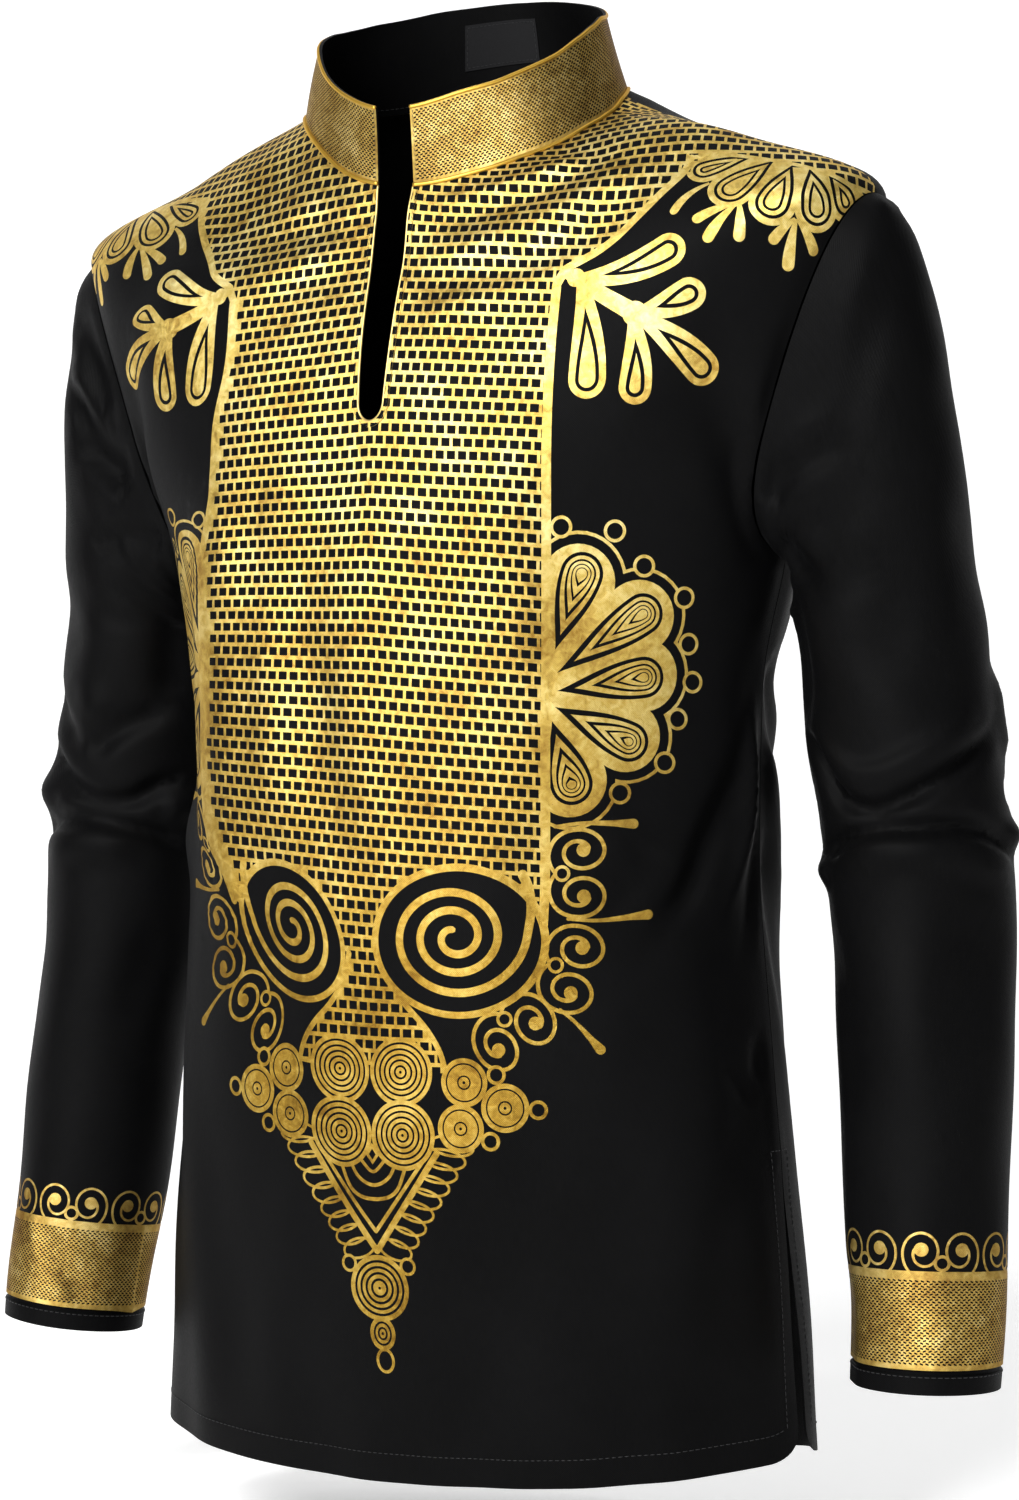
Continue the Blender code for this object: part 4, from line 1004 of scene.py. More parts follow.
def mesh_object(name, p, f, s, uv, n, materials):
    # the layers and their rim share their points, so that the shell is closed
    _, first, same = np.unique(np.round(p * 1e7).astype(np.int64), axis=0, return_index=True, return_inverse=True)
    p, f = p[first], same.reshape(-1)[f]
    good = (f[:, 0] != f[:, 1]) & (f[:, 1] != f[:, 2]) & (f[:, 0] != f[:, 2])
    uv = uv.reshape(-1, 3, 2)[good].reshape(-1, 2)
    n = n.reshape(-1, 3, 3)[good].reshape(-1, 3)
    f, s = f[good], s[good]
    used, f = np.unique(f, return_inverse=True)
    p, f = p[used], f.reshape(-1, 3)
    mesh = bpy.data.meshes.new(name)
    mesh.vertices.add(len(p))
    mesh.vertices.foreach_set("co", p.astype(np.float32).ravel())
    mesh.loops.add(f.size)
    mesh.loops.foreach_set("vertex_index", f.astype(np.int32).ravel())
    mesh.polygons.add(len(f))
    mesh.polygons.foreach_set("loop_start", np.arange(0, f.size, 3, dtype=np.int32))
    mesh.polygons.foreach_set("material_index", s)
    for m in materials:
        mesh.materials.append(m)
    layer = mesh.uv_layers.new(name="cloth")
    layer.uv.foreach_set("vector", uv.astype(np.float32).ravel())
    mesh.update(calc_edges=True)
    mesh.polygons.foreach_set("use_smooth", np.ones(len(f), bool))
    mesh.normals_split_custom_set(unit(n).astype(np.float32))
    obj = bpy.data.objects.new(name, mesh)
    bpy.context.scene.collection.objects.link(obj)
    return obj


def hex_fill(outline, gap):
    low, high = outline.min(0), outline.max(0)
    rows = np.arange(low[1] + gap * .5, high[1], gap * .866)
    pts = []
    for i, y in enumerate(rows):
        x = np.arange(low[0] + (gap * .5 if i % 2 else 0.0), high[0], gap)
        pts.append(np.stack([x, np.full(len(x), y)], 1))
    pts = np.concatenate(pts)
    return pts[within(pts, outline)]


def thinned(points, near, gap):
    """The points that have none of the others within about a gap of them."""
    if not len(near):
        return points
    cells = set()
    for dx in (-1, 0, 1):
        for dy in (-1, 0, 1):
            key = np.floor(near / gap).astype(np.int64) + np.array([dx, dy])
            cells.update((key[:, 0] * 1000003 + key[:, 1]).tolist())
    key = np.floor(points / gap).astype(np.int64)
    code = key[:, 0] * 1000003 + key[:, 1]
    return points[~np.isin(code, np.fromiter(cells, np.int64, len(cells)))]


def dense(line, gap, closed=True):
    """The line with points added so that none are further apart than the gap."""
    p = np.concatenate([line, line[:1]]) if closed else line
    out = []
    for a, b in zip(p[:-1], p[1:]):
        n = max(1, int(math.ceil(np.linalg.norm(b - a) / gap)))
        out.append(a + (b - a) * (np.arange(n) / n)[:, None])
    if not closed:
        out.append(p[-1:])
    return np.concatenate(out)


def triangulate(outline, shapes, fill):
    """Triangles inside the outline, cut along the shapes, and the colour of the topmost shape on each."""
    points, rings, at = [], [], 0
    for poly in [outline] + [p for p, _ in shapes]:
        ids = list(range(at, at + len(poly)))
        after = np.roll(poly, -1, axis=0)
        turn = (poly[:, 0] * after[:, 1] - poly[:, 1] * after[:, 0]).sum()
        rings.append(ids if turn > 0 else ids[::-1])
        points.append(poly)
        at += len(poly)
    points = np.concatenate(points + [fill])
    v, _, faces, _, _, origin = delaunay_2d_cdt([Vector(p) for p in points], [], rings, 0, 1e-7, True)
    kept, colours = [], []
    for f, o in zip(faces, origin):
        if 0 in o:
            top = max(o)
            kept.append(f)
            colours.append(shapes[top - 1][1] if top else BARE)
    v = np.array([tuple(p) for p in v])
    f = np.array(kept)
    a, b, c = v[f[:, 0]], v[f[:, 1]], v[f[:, 2]]
    area = (b[:, 0] - a[:, 0]) * (c[:, 1] - a[:, 1]) - (b[:, 1] - a[:, 1]) * (c[:, 0] - a[:, 0])
    f[area < 0] = f[area < 0][:, ::-1]
    keep = np.abs(area) > 1e-13
    return v, f[keep], np.array(colours)[keep]


def rim_of(faces):
    """Directed edges that only one triangle has."""
    e = np.concatenate([faces[:, [0, 1]], faces[:, [1, 2]], faces[:, [2, 0]]])
    big = int(faces.max()) + 1
    code, back = e[:, 0] * big + e[:, 1], e[:, 1] * big + e[:, 0]
    return e[~np.isin(code, back)]


def chained(edges):
    after = {int(a): int(b) for a, b in edges}
    loops = []
    while after:
        start = next(iter(after))
        loop, at = [], start
        while at in after:
            loop.append(at)
            at = after.pop(at)
        loops.append(loop)
    return sorted(loops, key=len, reverse=True)


def welded(v, faces, left, right):
    """Faces with the points on the right edge given the numbers of those opposite them on the left edge."""
    on_left = np.nonzero(np.abs(v[:, 0] - left) < 2e-7)[0]
    on_right = np.nonzero(np.abs(v[:, 0] - right) < 2e-7)[0]
    order = on_left[np.argsort(v[on_left, 1])]
    at = np.clip(np.searchsorted(v[order, 1], v[on_right, 1]), 1, len(order) - 1)
    pick = np.where(np.abs(v[order[at], 1] - v[on_right, 1]) < np.abs(v[order[at - 1], 1] - v[on_right, 1]), order[at], order[at - 1])
    same = np.arange(len(v))
    same[on_right] = pick
    return same[faces]


def cloth_shell(cloth, outline, shapes, place, gap, inner_gap, wall, colours, weld=None, inner_slot=2, rim_slot=3, clear=0.0013):
    """Both faces of a panel and the rim between them. place gives points and normals of places on the flat cloth;
    colours maps the shapes' colours to material slots."""
    vertices = np.concatenate([outline] + [p for p, _ in shapes]) if shapes else outline
    fill = thinned(hex_fill(outline, gap), np.concatenate([vertices, dense(outline, clear)]), clear)
    v, f, c = triangulate(outline, shapes, fill)
    p, n = place(v)
    facing = np.cross(p[f[:, 1]] - p[f[:, 0]], p[f[:, 2]] - p[f[:, 0]])
    turned = (facing * n[f[:, 0]]).sum() < 0
    if turned:
        f = f[:, ::-1]
    loops = chained(rim_of(f))
    g = welded(v, f, *weld) if weld else f
    cloth.add(p, g, np.array(colours)[c], v[f], n[f])
    ring_ids = loops[0]
    inner_outline = v[ring_ids]
    inner_fill = thinned(hex_fill(inner_outline, inner_gap), dense(inner_outline, inner_gap * .6), inner_gap * .55)
    iv, inf, _ = triangulate(inner_outline, [], inner_fill)
    if turned:
        inf = inf[:, ::-1]
    ip, inn = place(iv)
    ip = ip - inn * wall
    ig = welded(iv, inf, *weld) if weld else inf
    cloth.add(ip, ig[:, ::-1], inner_slot, iv[inf][:, ::-1], -inn[inf][:, ::-1])
    # rim: the first points of the inner layer are the ring's, in the ring's order
    e = rim_of(g)
    back = {}
    for k, i in enumerate(ring_ids):
        back.setdefault(int(i), k)
    if weld:
        same = welded(v, np.arange(len(v))[:, None], *weld)[:, 0]
        for k, i in enumerate(ring_ids):
            back.setdefault(int(same[i]), k)
    a, b = e[:, 0], e[:, 1]
    ia, ib = np.array([back[int(i)] for i in a]), np.array([back[int(i)] for i in b])
    quad = np.stack([p[a], p[b], ip[ib], ip[ia]], 1)
    normal = unit(np.cross(quad[:, 1] - quad[:, 0], quad[:, 3] - quad[:, 0]))
    q = quad.reshape(-1, 3)
    base = np.arange(len(e)) * 4
    # run round the other way, so that the rim faces outwards
    tri = np.concatenate([np.stack([base, base + 3, base + 2], 1), np.stack([base, base + 2, base + 1], 1)])
    nn = np.concatenate([np.repeat(-normal[:, None], 3, 1)] * 2)
    uv = np.stack([v[a], v[b], v[b], v[a]], 1).reshape(-1, 2)
    cloth.add(q, tri, rim_slot, uv[tri], nn)
    return v, f


def locate(surface, flat, pts):
    """Rows and columns (as the surface's own a and b) of places on its flat cloth."""
    step = 3
    sub = flat[::step, ::step]
    tree = kdtree.KDTree(sub.shape[0] * sub.shape[1])
    k = 0
    for i in range(sub.shape[0]):
        for j in range(sub.shape[1]):
            tree.insert((sub[i, j, 0], sub[i, j, 1], 0), k)
            k += 1
    tree.balance()
    hit = np.array([tree.find((x, y, 0))[1] for x, y in pts])
    i = (hit // sub.shape[1] * step).astype(float)
    j = (hit % sub.shape[1] * step).astype(float)
    for _ in range(9):
        i0 = np.clip(i, 0, flat.shape[0] - 1.000001).astype(int)
        j0 = np.clip(j, 0, flat.shape[1] - 1.000001).astype(int)
        fi, fj = (i - i0)[:, None], (j - j0)[:, None]
        a, b, c, d = flat[i0, j0], flat[i0, j0 + 1], flat[i0 + 1, j0], flat[i0 + 1, j0 + 1]
        at = (1 - fi) * (1 - fj) * a + (1 - fi) * fj * b + fi * (1 - fj) * c + fi * fj * d
        di = (1 - fj) * (c - a) + fj * (d - b)
        dj = (1 - fi) * (b - a) + fi * (d - c)
        gap = pts - at
        det = di[:, 0] * dj[:, 1] - di[:, 1] * dj[:, 0]
        det = np.where(np.abs(det) < 1e-14, 1e-14, det)
        i = np.clip(i + np.clip((gap[:, 0] * dj[:, 1] - gap[:, 1] * dj[:, 0]) / det, -4, 4), 0, flat.shape[0] - 1)
        j = np.clip(j + np.clip((di[:, 0] * gap[:, 1] - di[:, 1] * gap[:, 0]) / det, -4, 4), 0, flat.shape[1] - 1)
    a = surface.a[0] + i * (surface.a[1] - surface.a[0])
    b = surface.b[0] + j * (surface.b[1] - surface.b[0])
    return a, b


def body_place(surface, flat):
    def place(v):
        a, b = locate(surface, flat, v)
        return surface.read(surface.points, a, b), unit(surface.read(surface.normal, a, b))
    return place


# =================================================================== outlines of the body panels
def quarter_length(w, face):
    return arches(table_rows(np.atleast_1d(w)), face, [1.0])[1]


def edge_share(w, face):
    w = np.atleast_1d(np.asarray(w, float))
    whole = quarter_length(w, face)
    gap = VENT_GAP[face]
    vent = 1 - (SEAM + gap * np.maximum(1 - w / VENT_W, 0)**0.8) / whole
    return np.where(w < VENT_W, vent, 1 - SEAM / whole)


def hem_section(share, face):
    whole = quarter_length(0.0, face)[0]
    to_edge = (edge_share(0.0, face)[0] - share) * whole
    if to_edge >= HEM_CORNER:
        return 0.0
    rise = HEM_CORNER - math.sqrt(max(HEM_CORNER**2 - (HEM_CORNER - to_edge)**2, 0.0))
    return 0.62 * rise / 0.09


def panel_outline(face, surface, flat, gap=0.0035):
    """The right half from the hem's centre round to the neck, then the left half back, as places on the flat cloth."""
    hem_edge = edge_share(0.0, face)[0]
    shares = np.concatenate([np.linspace(0, hem_edge - 0.09, 40), np.linspace(hem_edge - 0.09, hem_edge, 24)[1:]])
    hem = [(hem_section(s, face), s) for s in shares]
    up = np.linspace(hem[-1][0], ARMHOLE["low"], 140)[1:]
    side = list(zip(up, edge_share(up, face)))
    arm = []
    for s in np.linspace(0, 1, 74)[1:-1]:
        w, share = armhole_edge(s, face)
        arm.append((w, share - SEAM / quarter_length(w, face)[0]))
    top = np.linspace(ARMHOLE["high"], NECK_W, 46)
    shoulder = list(zip(top, 1 - SEAM / quarter_length(top, face)))
    whole = quarter_length(NECK_W, face)[0]
    inner = slit_half(NECK_W) / whole if face == "front" else 0.0
    neck = [(NECK_W, s) for s in np.linspace(1 - SEAM / whole, inner, 44)[1:]]
    slit = []
    if face == "front":
        down = np.concatenate([np.linspace(NECK_W, SLIT_W + 0.20, 26)[1:], SLIT_W + 0.20 * (1 - np.sin(np.linspace(0, math.pi / 2, 16)))[1:]])
        slit = [(w, slit_half(w) / quarter_length(w, face)[0]) for w in down[:-1]] + [(SLIT_W, 0.0)]
    half = np.array(hem + side + arm + shoulder + neck + slit)
    uv = surface.read(flat, half[:, 0], half[:, 1])
    last = half[-1, 1] == 0
    left = (uv * np.array([-1, 1]))[::-1]
    return np.concatenate([uv, left[1 if last else 0:-1]]), half

# =================================================================== sleeves and collar laid flat
SLEEVE_HALF = 0.121          # half of the cuff's way round, which is the sleeve's width on its flat print
SLEEVE_START = -0.993
CUFF_BAND = (10.3, 61.3)     # the cuff's printed band, in millimetres above its edge


def sleeve_lengths(surface):
    d = np.linalg.norm(np.diff(surface.base, axis=0), axis=2).mean(1)
    up = np.concatenate([np.cumsum(d[::-1])[::-1], [0.0]])
    return up      # length above the cuff's edge at each row


def sleeve_place(surface):
    up = sleeve_lengths(surface)
    def place(v):
        a = np.interp(v[:, 1], up[::-1], surface.a[::-1])
        b = np.clip(v[:, 0] / SLEEVE_HALF * 180, -180, 180)
        return surface.read(surface.points, a, b), unit(surface.read(surface.normal, a, b))
    return place


def sleeve_outline(surface, gap=0.003):
    up = sleeve_lengths(surface)
    top = float(np.interp(SLEEVE_START, surface.a, up))
    xs = np.linspace(-SLEEVE_HALF, SLEEVE_HALF, int(2 * SLEEVE_HALF / gap))
    ys = np.linspace(0, top, int(top / gap))
    return np.concatenate([np.stack([xs, 0 * xs], 1), np.stack([0 * ys + SLEEVE_HALF, ys], 1)[1:],
                           np.stack([xs[::-1], 0 * xs + top], 1)[1:], np.stack([0 * ys - SLEEVE_HALF, ys[::-1]], 1)[1:-1]])


def cuff_print(foot):
    """The cuff's band of small blocks between two lines, with a row of curl pairs standing on it."""
    low, high = CUFF_BAND
    w = SLEEVE_HALF * 1000
    shapes = []
    pairs = 6
    pitch = 2 * w / pairs
    for k in range(-1, pairs + 1):
        x = -w + (foot + k * pitch) % (2 * w)
        for shift in (-2 * w, 0, 2 * w):
            if abs(x + shift) < w + 30:
                shapes += curl_pair((x + shift, high - .6), (1, 0), 1.0, wide=1.25, eye=3.4, flat=.84, stretch=.80)
    shapes.append((np.array([[-w - 2, low], [w + 2, low], [w + 2, high], [-w - 2, high]]), FOIL))
    step = 2 * w / 90
    shapes += bricks(lambda p: (np.abs(p[:, 0]) < w - 0.9) & (p[:, 1] > low + 4.4) & (p[:, 1] < high - 3.9),
                     (step, 1.28), (1.58, 0.88), (-w, low), (w, high), lean=.24)
    return clipped(shapes, w)


def clipped(shapes, w):
    """Shapes cut off a little past the panel's sides (the outline does the rest)."""
    out = []
    for p, c in shapes:
        if p[:, 0].min() > w + 1 or p[:, 0].max() < -w - 1:
            continue
        out.append((p, c))
    return out


def collar_surface(rows=41, half=321):
    top = COLLAR
    inner = SLIT_HALF_TOP + 0.0002
    def halves(face):
        low, whole = arches(table_rows([AT["neck"]]), face, np.linspace(0, 1, 241))
        row = np.array([[top["z_cf"], top["y_cf"], top["x_side"], top["y_side"], top["z_side"], top["z_cb"], top["y_cb"], top["square"], top["square"]]])
        high, _ = arches(row, face, np.linspace(0, 1, 241))
        return low[0], high[0], whole[0]
    lf, hf, len_f = halves("front")
    lb, hb, len_b = halves("back")
    cut = inner / len_f
    share_f = np.linspace(cut, 1, 241)
    pick = lambda g, s: np.stack([np.interp(s, np.linspace(0, 1, 241), g[:, k]) for k in range(3)], 1)
    share_top = np.linspace(0.0112 / len_f, 1, 241)
    low = np.concatenate([pick(lb, np.linspace(0, 1, 241)), pick(lf, share_f)[::-1][1:]])
    high = np.concatenate([pick(hb, np.linspace(0, 1, 241)), pick(hf, share_top)[::-1][1:]])
    around = np.concatenate([np.linspace(2, 1, 241), share_f[::-1][1:]])
    d = np.concatenate([[0], np.cumsum(np.linalg.norm(np.diff(low, axis=0), axis=1))])
    at = np.linspace(0, d[-1], half)
    low = np.stack([np.interp(at, d, low[:, k]) for k in range(3)], 1)
    high = np.stack([np.interp(at, d, high[:, k]) for k in range(3)], 1)
    around = np.interp(at, d, around)
    low, high = (np.concatenate([(g * np.array([-1, 1, 1]))[:0:-1], g]) for g in (low, high))
    around = np.concatenate([-around[:0:-1], around])
    low[:, 2] += neck_drape(around, "seam")
    high[:, 2] += neck_drape(around, "top")
    # the wearer's right side stands out a little further than the left
    out = np.exp(-((around + 0.85) / 0.38)**2) * 0.0036
    high[:, 0] -= out
    low[:, 0] -= out * 0.3
    # its front ends sit a little to the wearer's right
    high[:, 0] -= np.exp(-(around / 0.35)**2) * 0.0030
    rise = np.linspace(0.001, 1, rows)
    grid = (1 - rise)[:, None, None] * low + rise[:, None, None] * high
    s = Surface(rise, np.linspace(-d[-1], d[-1], 2 * half - 1), grid, 1)
    middle = grid.mean((0, 1))
    if ((grid - middle) * s.base_normal).sum() < 0:
        s.outward = -1
        s.base_normal = -s.base_normal
        s.normal = s.base_normal
    # the stand is a little softer than its section: it leans out at its top and dips between the seams
    u = np.linspace(-1, 1, 2 * half - 1)
    soft = 0.0006 * np.sin(9 * u + 1)[None] * np.sin(math.pi * rise)[:, None] + 0.0004 * np.sin(23 * u + 2)[None] * rise[:, None] ** 2
    s.fold(soft)
    return s


collar_surf = collar_surface()
COLLAR_TALL = float(np.linalg.norm(collar_surf.base[-1] - collar_surf.base[0], axis=1).mean())


def collar_place(v):
    a = 0.001 + v[:, 1] / COLLAR_TALL * (1 - 0.001)
    return collar_surf.read(collar_surf.points, a, v[:, 0]), unit(collar_surf.read(collar_surf.normal, a, v[:, 0]))


def collar_outline(gap=0.0032):
    w = collar_surf.b[-1]
    xs = np.linspace(-w, w, int(2 * w / gap))
    ys = np.linspace(0, COLLAR_TALL, int(COLLAR_TALL / gap))
    return np.concatenate([np.stack([xs, 0 * xs], 1), np.stack([0 * ys + w, ys], 1)[1:],
                           np.stack([xs[::-1], 0 * xs + COLLAR_TALL], 1)[1:], np.stack([0 * ys - w, ys[::-1]], 1)[1:-1]])


def collar_print():
    w, tall = collar_surf.b[-1] * 1000, COLLAR_TALL * 1000
    shapes = [(np.array([[-w - 2, -1], [w + 2, -1], [w + 2, tall + 1], [-w - 2, tall + 1]]), FOIL)]
    shapes += bricks(lambda p: (np.abs(p[:, 0]) < w - 1.6) & (p[:, 1] > 3.2) & (p[:, 1] < tall - 2.9),
                     (2.66, 1.28), (1.60, 0.90), (-w, 0), (w, tall), lean=.24)
    return shapes


# =================================================================== small meshes laid on the cloth
class Bits:
    """Small closed shapes, stitches above all, gathered into one mesh."""

    def __init__(self):
        self.points, self.faces, self.count = [], [], 0

    def add(self, points, faces):
        self.points.append(np.asarray(points, float))
        self.faces += [tuple(int(i) + self.count for i in f) for f in faces]
        self.count += len(points)

    def stitch(self, a, b, up, radius):
        """A thread lying from a to b, its ends sunk into the cloth."""
        d = b - a
        side = unit(np.cross(d, up))
        pts = []
        for t, r, lift in ((0.0, .35, -.5), (.14, .85, .35), (.5, 1.0, .65), (.86, .85, .35), (1.0, .35, -.5)):
            c = a + d * t + up * radius * lift
            for ang in (0, 90, 180, 270):
                pts.append(c + radius * r * (side * math.cos(math.radians(ang)) + up * math.sin(math.radians(ang)) * .8))
        f = []
        for k in range(4):
            for j in range(4):
                m = (j + 1) % 4
                f.append((k * 4 + j, k * 4 + m, (k + 1) * 4 + m, (k + 1) * 4 + j))
        f += [(3, 2, 1, 0), (16, 17, 18, 19)]
        self.add(pts, f)

    def tube(self, line, up, radius, sides=8, flat=1.0, closed=False):
        line = np.asarray(line, float)
        t = np.gradient(line, axis=0)
        if closed:
            t = np.roll(line, -1, axis=0) - np.roll(line, 1, axis=0)
        t = unit(t)
        up = unit(up - (up * t).sum(1, keepdims=True) * t)
        side = np.cross(t, up)
        a = np.linspace(0, 2 * math.pi, sides, endpoint=False)
        pts = (line[:, None] + radius * (side[:, None] * np.cos(a)[None, :, None] + up[:, None] * (np.sin(a) * flat)[None, :, None])).reshape(-1, 3)
        n = len(line)
        f = []
        for k in range(n if closed else n - 1):
            m = (k + 1) % n
            for j in range(sides):
                i = (j + 1) % sides
                f.append((k * sides + j, k * sides + i, m * sides + i, m * sides + j))
        if not closed:
            f += [tuple(range(sides))[::-1], tuple((n - 1) * sides + j for j in range(sides))]
        self.add(pts, f)

    def object(self, name, material, smooth_faces=True):
        mesh = bpy.data.meshes.new(name)
        mesh.from_pydata(np.concatenate(self.points).tolist(), [], self.faces)
        mesh.materials.append(material)
        mesh.update()
        if smooth_faces:
            mesh.polygons.foreach_set("use_smooth", np.ones(len(mesh.polygons), bool))
        obj = bpy.data.objects.new(name, mesh)
        bpy.context.scene.collection.objects.link(obj)
        return obj


def evenly(line, pitch, closed=False):
    """Places along a line a pitch apart."""
    p = np.concatenate([line, line[:1]]) if closed else line
    d = np.concatenate([[0], np.cumsum(np.linalg.norm(np.diff(p, axis=0), axis=1))])
    n = max(2, int(round(d[-1] / pitch)) + 1)
    at = np.linspace(0, d[-1], n)
    return np.stack([np.interp(at, d, p[:, k]) for k in range(p.shape[1])], 1)


def stitch_row(bits, route, place, pitch=0.0029, length=0.0021, radius=0.00021, lift=0.00008, closed=False):
    """A row of stitches along a route on the flat cloth."""
    at = evenly(route, pitch, closed)
    mid = (at[1:] + at[:-1]) / 2
    d = (at[1:] - at[:-1])
    share = length / pitch / 2
    p, n = place(np.concatenate([mid - d * share, mid + d * share]))
    k = len(mid)
    for i in range(k):
        up = unit(n[i] + n[i + k])
        bits.stitch(p[i] + up * lift, p[i + k] + up * lift, up, radius)


# =================================================================== materials
class Finish:
    """A Principled material with small helpers; cloth places come in metres from the UV layer."""

    def __init__(self, name, **values):
        self.material = bpy.data.materials.new(name)
        self.material.use_nodes = True
        self.tree = self.material.node_tree
        self.shader = self.tree.nodes["Principled BSDF"]
        for key, value in values.items():
            self.shader.inputs[key.replace("_", " ")].default_value = value

    def node(self, kind, inputs=(), **settings):
        n = self.tree.nodes.new(kind)
        for key, value in settings.items():
            setattr(n, key, value)
        for key, value in dict(inputs).items():
            if isinstance(value, bpy.types.NodeSocket):
                self.tree.links.new(value, n.inputs[key])
            else:
                n.inputs[key].default_value = value
        return n

    def place(self):
        return self.node("ShaderNodeUVMap", uv_map="cloth").outputs["UV"]

    def noise(self, vector, scale, detail=3.0, rough=0.55, distort=0.0):
        return self.node("ShaderNodeTexNoise", {"Vector": vector, "Scale": scale, "Detail": detail, "Roughness": rough, "Distortion": distort}).outputs["Fac"]

    def remap(self, value, low, high, to_low=0.0, to_high=1.0):
        return self.node("ShaderNodeMapRange", {"Value": value, "From Min": low, "From Max": high, "To Min": to_low, "To Max": to_high}).outputs["Result"]

    def math(self, operation, a, b=0.0):
        return self.node("ShaderNodeMath", {0: a, 1: b}, operation=operation).outputs[0]

    def ramp(self, value, stops):
        n = self.node("ShaderNodeValToRGB", {"Fac": value})
        e = n.color_ramp.elements
        while len(e) < len(stops):
            e.new(0.5)
        for item, (at, colour) in zip(e, stops):
            item.position = at
            item.color = (*colour, 1)
        return n.outputs["Color"]

    def mix(self, share, a, b):
        n = self.node("ShaderNodeMix", data_type="RGBA")
        for key, value in ((0, share), (6, a), (7, b)):
            if isinstance(value, bpy.types.NodeSocket):
                self.tree.links.new(value, n.inputs[key])
            else:
                n.inputs[key].default_value = value if key == 0 else (*value, 1)
        return n.outputs[2]

    def weave(self, vector, pitch, lean=1.0):
        """Fine diagonal ribs of a twill, broken by the yarns that cross them."""
        xyz = self.node("ShaderNodeSeparateXYZ", {"Vector": vector})
        k = 2 * math.pi / pitch
        across = self.math("MULTIPLY", xyz.outputs["X"], k)
        up = self.math("MULTIPLY", xyz.outputs["Y"], k * lean)
        rib = self.math("SINE", self.math("ADD", across, up))
        yarn = self.math("SINE", self.math("MULTIPLY", xyz.outputs["X"], k * 2.0))
        return self.math("ADD", rib, self.math("MULTIPLY", yarn, 0.4))

    def set(self, name, socket):
        self.tree.links.new(socket, self.shader.inputs[name])

    def bump(self, *layers):
        """layers are (height, distance in metres, strength)."""
        normal = None
        for height, distance, strength in layers:
            n = self.node("ShaderNodeBump", {"Height": height, "Distance": distance, "Strength": strength})
            if normal is not None:
                self.tree.links.new(normal, n.inputs["Normal"])
            normal = n.outputs["Normal"]
        self.set("Normal", normal)


def black_finish(name, lift=1.0, sheen=0.006):
    m = Finish(name, Sheen_Weight=sheen, Sheen_Roughness=0.38, Specular_IOR_Level=0.038)
    m.shader.inputs["Sheen Tint"].default_value = (0.72, 0.73, 0.78, 1)
    at = m.place()
    broad = m.noise(at, 9.0, 3.0)
    fine = m.noise(at, 620.0, 2.0)
    slub = m.noise(m.node("ShaderNodeMapping", {"Vector": at, "Scale": (1.0, 0.12, 1.0)}).outputs[0], 900.0, 1.0)
    tone = m.math("ADD", m.math("MULTIPLY", broad, 0.7), m.math("MULTIPLY", slub, 0.3))
    a, b = (0.0017 * lift, 0.0017 * lift, 0.0018 * lift), (0.0032 * lift, 0.0032 * lift, 0.0034 * lift)
    m.set("Base Color", m.ramp(tone, ((0.35, a), (0.65, b))))
    m.set("Roughness", m.remap(m.math("ADD", m.math("MULTIPLY", broad, 0.5), m.math("MULTIPLY", fine, 0.5)), 0.3, 0.7, 0.46, 0.58))
    m.bump((m.weave(at, 0.0011), 0.00010, 0.35), (fine, 0.00022, 0.35), (m.noise(at, 140.0, 3.0), 0.0005, 0.25))
    return m.material


# high, when given, is a paler set of tones mixed in towards the top of the print: painted light
def gold_finish(name, tones, high=None, edge=(0.80, 0.66, 0.52)):
    m = Finish(name, Metallic=0.88, Specular_IOR_Level=0.5)
    m.shader.inputs["Specular Tint"].default_value = (*edge, 1)
    at = m.place()
    crackle = m.noise(at, 210.0, 4.0, 0.62, 0.6)
    cloud = m.noise(at, 26.0, 4.0, 0.6, 0.3)
    tone = m.math("ADD", m.math("MULTIPLY", cloud, 0.55), m.math("MULTIPLY", crackle, 0.45))
    gold = m.ramp(tone, ((0.36, tones[0]), (0.50, tones[1]), (0.66, tones[2])))
    if high:
        # painted light: the foil's colour is paler towards the top of the print and deeper towards its foot, standing
        # in for the stronger light on the upper chest
        height = m.node("ShaderNodeSeparateXYZ", {"Vector": at}).outputs["Y"]
        gold = m.mix(m.remap(height, -0.45, -0.16), gold, m.ramp(tone, ((0.36, high[0]), (0.50, high[1]), (0.66, high[2]))))
    specks = m.remap(m.noise(at, 1500.0, 2.0, 0.7), 0.64, 0.70, 0.0, 0.75)
    m.set("Base Color", m.mix(specks, gold, (0.10, 0.06, 0.03)))
    m.set("Roughness", m.remap(crackle, 0.3, 0.7, 0.30, 0.46))
    m.bump((m.weave(at, 0.0011), 0.00012, 0.45), (crackle, 0.0009, 0.50), (m.noise(at, 700.0, 3.0), 0.0003, 0.45))
    return m.material


def thread_finish(name, colour, sheen=0.3):
    m = Finish(name, Sheen_Weight=sheen, Sheen_Roughness=0.4, Roughness=0.55)
    at = m.node("ShaderNodeTexCoord").outputs["Object"]
    twist = m.noise(at, 2600.0, 2.0)
    m.set("Base Color", m.ramp(twist, ((0.3, tuple(c * 0.7 for c in colour)), (0.7, tuple(min(1, c * 1.3) for c in colour)))))
    m.set("Roughness", m.remap(twist, 0.3, 0.7, 0.45, 0.65))
    m.bump((twist, 0.0001, 0.5))
    return m.material


